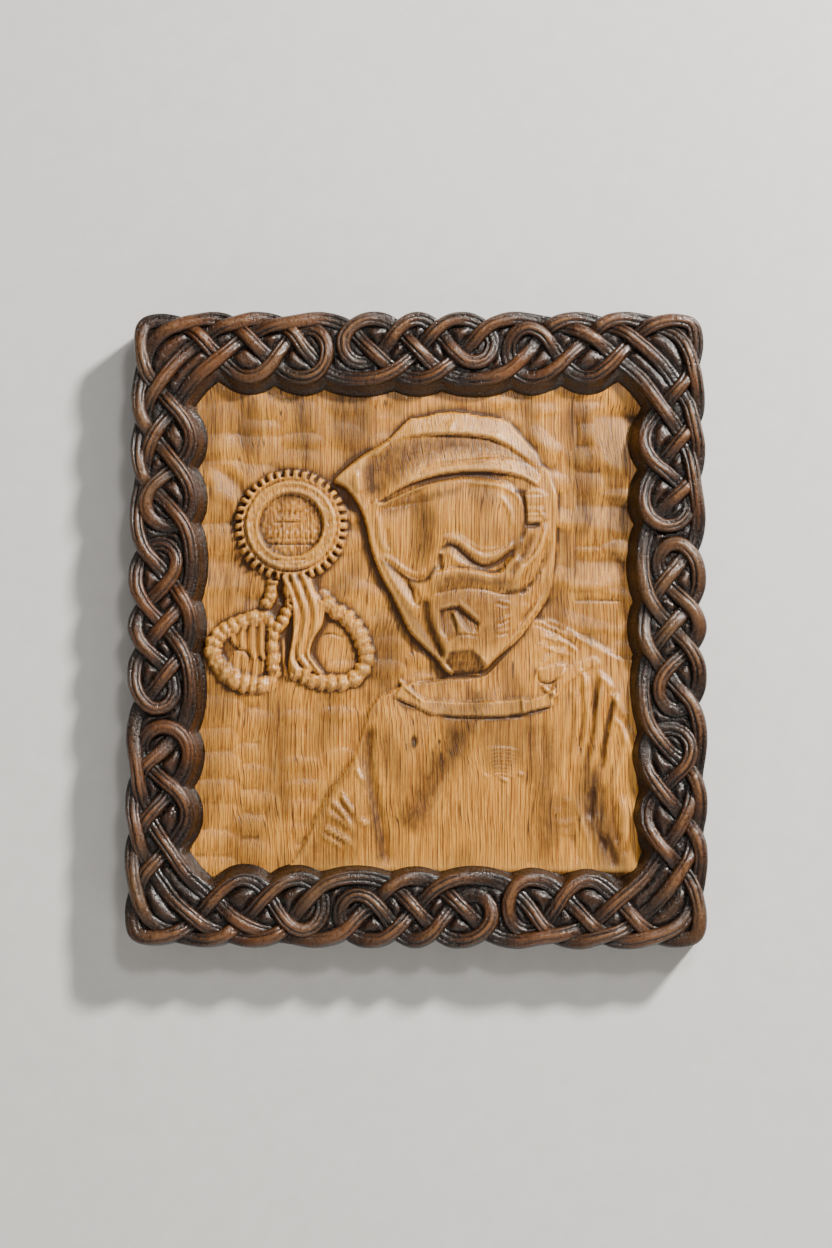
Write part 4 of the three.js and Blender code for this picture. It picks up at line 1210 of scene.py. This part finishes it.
def relief_panel(material):
    """The board: carved front inside the opening, plain margin, sides and back."""
    columns = spaced([(-CARVED_X, 0.93), (CARVED_X, 0)])
    rows = spaced([(-CARVED_Z, 1.9), (-104, 1.0), (104, 1.2), (146, 1.9), (CARVED_Z, 0)])
    x, z = np.meshgrid(columns, rows)
    height, dark, brown = carve(x, z)
    height = np.where(height > HIGHEST, HIGHEST + np.tanh(height - HIGHEST), height)
    edge = np.minimum(CARVED_X - np.abs(x), CARVED_Z - np.abs(z))
    height = height * smoothstep(edge, 0, 4)
    # how far each point stands out of its surroundings; the oak paints shade where it lies low and rubs
    # lighter where it stands out
    stands_out = 0.6 * (height - blurred(height, 3)) + 0.6 * (height - blurred(height, 9))
    # the grid, then a plain margin out to the board's outline, its sides and a fan over its back
    count = len(rows), len(columns)
    points = np.stack([x, -(PANEL_LEVEL + height), z], -1).reshape(-1, 3)
    index = np.arange(len(points)).reshape(count)
    border = np.concatenate([index[0, :-1], index[:-1, -1], index[-1, :0:-1], index[:0:-1, 0]])
    rim = points[border]
    outline = board_outline(0.0, np.arctan2(rim[:, 2], rim[:, 0]))
    half_x, half_z = BOARD_WIDTH / 2, BOARD_HEIGHT / 2
    for corner in ((half_x, half_z - SEAT_CUT), (half_x - SEAT_CUT, half_z)):
        for way in ((1, 1), (1, -1), (-1, 1), (-1, -1)):
            spot = np.array(corner) * way
            outline[np.hypot(*(outline - spot).T).argmin()] = spot
    front = np.column_stack([outline[:, 0], np.full(len(rim), -PANEL_LEVEL), outline[:, 1]])
    back = front * (1, 0, 1)
    first = len(points)
    ring = len(rim)
    k = np.arange(ring)
    following = (k + 1) % ring
    margin = np.stack([border[k], border[following], first + following, first + k], -1)
    sides = np.stack([first + k, first + following, first + ring + following, first + ring + k], -1)
    middle = first + 2 * ring
    fan = [[first + ring + a, first + ring + b, middle] for a, b in zip(k, following)]
    quads = grid_faces(*count)
    faces = [list(f) for f in np.vstack([quads, margin[:, ::-1], sides[:, ::-1]])] + fan
    vertices = np.vstack([points, front, back, [[0, 0, 0]]])
    plain = np.zeros(2 * ring + 1)
    # per point: stands_out, the dark grid of painted shade with wax and knots, and the brown figure with
    # some painted shade
    values = {
        "stands_out": np.concatenate([stands_out.ravel(), plain]),
        "painted_shade_wax_and_knots": np.concatenate([dark.ravel(), plain]),
        "figure_and_shade": np.concatenate([blurred(brown, 2).ravel(), plain]),
    }
    piece = mesh_object("oak_relief", vertices, faces, material, values)
    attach(piece, "root")
    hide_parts("relief_panel")


# Materials


class Nodes:
    """Short calls for the nodes of one material."""

    def __init__(self, name):
        self.material = bpy.data.materials.new(name)
        self.material.use_nodes = True
        self.tree = self.material.node_tree
        self.shader = self.tree.nodes["Principled BSDF"]

    def add(self, kind, inputs=None, **settings):
        node = self.tree.nodes.new(kind)
        for key, value in settings.items():
            setattr(node, key, value)
        for key, value in (inputs or {}).items():
            self.put(node.inputs[key], value)
        return node

    def put(self, socket, value):
        if isinstance(value, bpy.types.NodeSocket):
            self.tree.links.new(value, socket)
        else:
            socket.default_value = value

    def math(self, operation, *values):
        node = self.add("ShaderNodeMath", operation=operation)
        for socket, value in zip(node.inputs, values):
            self.put(socket, value)
        return node.outputs[0]

    def remap(self, value, low, high, to_low=0.0, to_high=1.0):
        inputs = {0: value, 1: low, 2: high, 3: to_low, 4: to_high}
        return self.add("ShaderNodeMapRange", inputs).outputs[0]

    def noise(self, vector, scale, detail, roughness, distortion=0.0):
        inputs = {
            "Vector": vector, "Scale": scale, "Detail": detail, "Roughness": roughness,
            "Distortion": distortion,
        }
        return self.add("ShaderNodeTexNoise", inputs).outputs[0]

    def stretched_noise(self, vector, stretch_by, detail, roughness, distortion=0.0):
        """Noise with its own fineness along each axis."""
        mapping = self.add("ShaderNodeMapping", {"Vector": vector, "Scale": stretch_by})
        return self.noise(mapping.outputs[0], 1.0, detail, roughness, distortion)

    def times(self, one, two):
        return self.math("MULTIPLY", one, two)

    def plus(self, *values):
        total = values[0]
        for value in values[1:]:
            total = self.math("ADD", total, value)
        return total

    def ramp(self, value, stops):
        node = self.add("ShaderNodeValToRGB", {0: value})
        elements = node.color_ramp.elements
        while len(elements) < len(stops):
            elements.new(0.5)
        for element, (position, colour) in zip(elements, stops):
            element.position = position
            element.color = (*colour, 1.0)
        return node.outputs[0]

    def mix(self, factor, one, two):
        node = self.add("ShaderNodeMix", data_type="RGBA")
        self.put(node.inputs[0], factor)
        self.put(node.inputs[6], one)
        self.put(node.inputs[7], two)
        return node.outputs[2]

    def attribute(self, name):
        return self.add("ShaderNodeAttribute", attribute_name=name).outputs["Fac"]


def walnut_stain():
    """Dark stained, varnished wood: painted shade near black in the hollows, beside the strands and under
    the crossings, and rubbed lighter on the crests.
    """
    n = Nodes("dark_walnut_stain")
    place = n.add("ShaderNodeTexCoord").outputs["Object"]
    wear_and_shade = n.attribute("wear_and_shade")
    fibre = n.stretched_noise(place, (260.0, 260.0, 30.0), 4.0, 0.6)
    pores = n.stretched_noise(place, (900.0, 900.0, 140.0), 2.0, 0.5)
    patches = n.noise(place, 14.0, 4.0, 0.6)
    ashy = n.noise(place, 9.0, 3.0, 0.5)
    flecks = n.noise(place, 520.0, 4.0, 0.65)
    # rubbed carries the frame's wear and painted shade: lighter on the rubbed crests, painted shade dark in
    # the hollows, with fibre and flecks
    rubbed = n.plus(wear_and_shade, n.remap(fibre, 0.3, 0.7, -0.1, 0.1), n.remap(flecks, 0.3, 0.7, -0.18, 0.18))
    tone = n.ramp(rubbed, [
        (0.0, (0.003, 0.0011, 0.0003)), (0.2, (0.009, 0.0030, 0.0008)), (0.5, (0.034, 0.0118, 0.0028)),
        (0.8, (0.086, 0.0315, 0.0085)), (1.0, (0.17, 0.074, 0.024)),
    ])
    orange = n.times(n.remap(patches, 0.5, 0.66), n.remap(wear_and_shade, 0.1, 0.7))
    colour = n.mix(n.times(orange, 0.6), tone, (0.165, 0.053, 0.011, 1.0))
    grey = n.times(n.remap(ashy, 0.5, 0.68), n.remap(wear_and_shade, 0.2, 0.8))
    colour = n.mix(n.times(grey, 0.45), colour, (0.125, 0.074, 0.034, 1.0))
    dark_pores = n.remap(pores, 0.6, 0.7, 0.0, 0.5)
    colour = n.mix(dark_pores, colour, (0.008, 0.0035, 0.0018, 1.0))
    n.put(n.shader.inputs["Base Color"], colour)
    n.put(n.shader.inputs["Roughness"], n.remap(flecks, 0.3, 0.7, 0.18, 0.48))
    n.shader.inputs["Coat Weight"].default_value = 0.5
    n.shader.inputs["Coat Roughness"].default_value = 0.12
    n.shader.inputs["Specular IOR Level"].default_value = 0.36
    height = n.plus(n.times(fibre, 0.5), n.times(flecks, 0.9))
    height = n.math("SUBTRACT", height, n.times(dark_pores, 0.7))
    bump = n.add("ShaderNodeBump", {"Strength": 0.9, "Distance": 0.0009, "Height": height})
    n.put(n.shader.inputs["Normal"], bump.outputs[0])
    varnish = n.add("ShaderNodeBump", {"Strength": 0.55, "Distance": 0.0008, "Height": height})
    n.put(n.shader.inputs["Coat Normal"], varnish.outputs[0])
    return n.material


def golden_oak():
    """Honey coloured oak with upright grain, dark pore lines, brown figure, and painted shade with darker
    wax in the hollows and on faces in shadow.
    """
    n = Nodes("golden_oak")
    place = n.add("ShaderNodeTexCoord").outputs["Object"]
    stands_out = n.attribute("stands_out")
    # painted shade where the carving lies low, together with the painted shade, wax and knots of the dark
    # grid
    painted_hollow_shade = n.math("MAXIMUM", n.remap(stands_out, -0.2, -1.45), n.attribute("painted_shade_wax_and_knots"))
    rubbed = n.remap(stands_out, 0.2, 1.6)
    apart = n.add("ShaderNodeSeparateXYZ", {0: place})
    drift = n.stretched_noise(place, (9.0, 9.0, 7.0), 2.0, 0.5)
    wander = n.stretched_noise(place, (45.0, 30.0, 22.0), 2.0, 0.5)
    uneven = n.stretched_noise(place, (170.0, 60.0, 3.0), 2.0, 0.6)
    across = n.plus(
        n.times(apart.outputs["X"], 430.0), n.times(apart.outputs["Y"], 170.0), n.times(drift, 13.0),
        n.times(wander, 1.2), n.times(uneven, 3.2),
    )
    ring = n.math("FRACT", across)
    streaks = n.stretched_noise(place, (1500.0, 700.0, 30.0), 3.0, 0.6)
    dashes = n.stretched_noise(place, (380.0, 300.0, 34.0), 4.0, 0.7)
    clouds = n.stretched_noise(place, (24.0, 20.0, 10.0), 3.0, 0.55, 0.7)
    mottle = n.stretched_noise(place, (300.0, 300.0, 150.0), 3.0, 0.6)
    speckle = n.stretched_noise(place, (1500.0, 1000.0, 700.0), 3.0, 0.6)
    tone = n.ramp(n.plus(n.times(ring, 0.12), n.times(streaks, 0.88)), [
        (0.34, (0.26, 0.088, 0.009)), (0.44, (0.54, 0.203, 0.022)), (0.54, (0.81, 0.350, 0.045)),
        (0.66, (0.97, 0.475, 0.083)),
    ])
    upwards = n.remap(apart.outputs["Z"], -0.12, 0.11, 0.35, 1.0)
    # brown figure, stronger towards the top, together with the painted shade that the figure grid carries
    smudge_and_shade = n.times(n.remap(clouds, 0.45, 0.7), upwards)
    smudge_and_shade = n.math("MAXIMUM", n.times(smudge_and_shade, 0.4), n.attribute("figure_and_shade"))
    smudge_and_shade = n.times(smudge_and_shade, n.remap(dashes, 0.3, 0.7, 0.8, 1.5))
    colour = n.mix(smudge_and_shade, tone, (0.040, 0.019, 0.008, 1.0))
    off_line = n.math("ABSOLUTE", n.math("SUBTRACT", ring, 0.5))
    pore_line = n.times(n.remap(off_line, 0.13, 0.06), n.remap(dashes, 0.34, 0.54))
    fine = n.remap(streaks, 0.59, 0.69)
    dark = n.math("MAXIMUM", n.times(pore_line, 0.9), n.times(fine, 0.6))
    colour = n.mix(dark, colour, (0.075, 0.028, 0.007, 1.0))
    # painted shade, wax and knots turn the colour dark brown
    painted_shade_wax_and_knots = n.plus(painted_hollow_shade, n.remap(mottle, 0.35, 0.65, -0.12, 0.12))
    painted_shade_wax_and_knots = n.times(n.remap(painted_shade_wax_and_knots, 0.03, 0.78), 0.93)
    colour = n.mix(painted_shade_wax_and_knots, colour, (0.045, 0.015, 0.003, 1.0))
    colour = n.mix(n.times(rubbed, 0.4), colour, (0.80, 0.43, 0.115, 1.0))
    n.put(n.shader.inputs["Base Color"], colour)
    n.put(n.shader.inputs["Roughness"], n.remap(streaks, 0.3, 0.7, 0.34, 0.54))
    n.shader.inputs["Specular IOR Level"].default_value = 0.3
    n.put(n.shader.inputs["Coat Weight"], n.remap(n.math("MAXIMUM", painted_shade_wax_and_knots, smudge_and_shade), 0.1, 0.7, 0.7, 0.12))
    n.shader.inputs["Coat Roughness"].default_value = 0.17
    height = n.math("SUBTRACT", n.times(streaks, 0.6), n.times(dark, 0.3))
    height = n.plus(height, n.times(mottle, 0.35), n.times(speckle, 0.55))
    bump = n.add("ShaderNodeBump", {"Strength": 0.7, "Distance": 0.0006, "Height": height})
    n.put(n.shader.inputs["Normal"], bump.outputs[0])
    n.put(n.shader.inputs["Coat Normal"], bump.outputs[0])
    return n.material


def pale_wall():
    """A matt, slightly mottled wall paint."""
    n = Nodes("pale_wall")
    place = n.add("ShaderNodeTexCoord").outputs["Object"]
    grain = n.noise(place, 60.0, 4.0, 0.6)
    n.put(n.shader.inputs["Base Color"], n.ramp(grain, [
        (0.3, (0.74, 0.735, 0.725)), (0.7, (0.79, 0.785, 0.775)),
    ]))
    n.shader.inputs["Roughness"].default_value = 0.9
    return n.material


# Stage


def wall_and_floor():
    """A pale wall right behind the plaque that turns into a pale floor in one sweep."""
    width, height, depth, bend, bend_steps = 6.0, 3.2, 5.0, 0.6, 12
    floor, behind = -1.3, 0.001
    profile = [(behind, height)]
    for k in range(bend_steps + 1):
        angle = math.pi / 2 * k / bend_steps
        profile.append((behind - bend * (1 - math.cos(angle)), floor + bend * (1 - math.sin(angle))))
    profile.append((-depth, floor))
    vertices = [(x / MM, y / MM, z / MM) for y, z in profile for x in (-width / 2, width / 2)]
    faces = grid_faces(len(profile), 2)
    piece = mesh_object("wall_and_floor", vertices, faces, pale_wall())


def area_light(name, place, size, power, colour):
    """A round lamp that points at the plaque's middle."""
    data = bpy.data.lights.new(name, "AREA")
    data.shape = "DISK"
    data.size = size
    data.energy = power
    data.color = colour
    lamp = bpy.data.objects.new(name, data)
    lamp.location = place
    lamp.rotation_euler = (-Vector(place)).to_track_quat("-Z", "Y").to_euler()
    bpy.context.scene.collection.objects.link(lamp)


def lights():
    """A warm key from the upper right, a glint for the gloss, a weak fill and a dim surround."""
    area_light("key", (1.45, -1.3, 1.4), 0.3, 118, (1.0, 0.96, 0.9))
    area_light("glint", (0.6, -2.3, 1.05), 0.4, 16, (1.0, 0.97, 0.93))
    area_light("front_fill", (-1.5, -2.3, 0.5), 1.6, 4, (1.0, 0.97, 0.93))
    world = bpy.data.worlds.new("studio")
    world.use_nodes = True
    background = world.node_tree.nodes["Background"]
    background.inputs["Color"].default_value = (0.95, 0.94, 0.92, 1.0)
    background.inputs["Strength"].default_value = 0.1
    bpy.context.scene.world = world


def camera():
    """The photograph's view: two metres off, level with the plaque's lower edge and looking a little up."""
    place = (0.0413, -2.0024, -0.2168)
    data = bpy.data.cameras.new("camera")
    data.sensor_fit = "AUTO"
    data.sensor_width = 36.0
    data.lens = 87.25
    data.clip_start = 0.1
    data.clip_end = 30.0
    piece = bpy.data.objects.new("camera", data)
    right = Vector((0.99978, 0.0206, 0.0041)).normalized()
    ahead = Vector((-0.021, 0.9937, 0.11)).normalized()
    up = right.cross(ahead).normalized()
    right = ahead.cross(up)
    turn = Matrix((right, up, -ahead)).transposed().to_4x4()
    piece.matrix_world = Matrix.Translation(place) @ turn
    bpy.context.scene.collection.objects.link(piece)
    bpy.context.scene.camera = piece


relief_panel(golden_oak())
knotwork_frame(walnut_stain())
wall_and_floor()
lights()
camera()

bpy.context.view_layer.update()
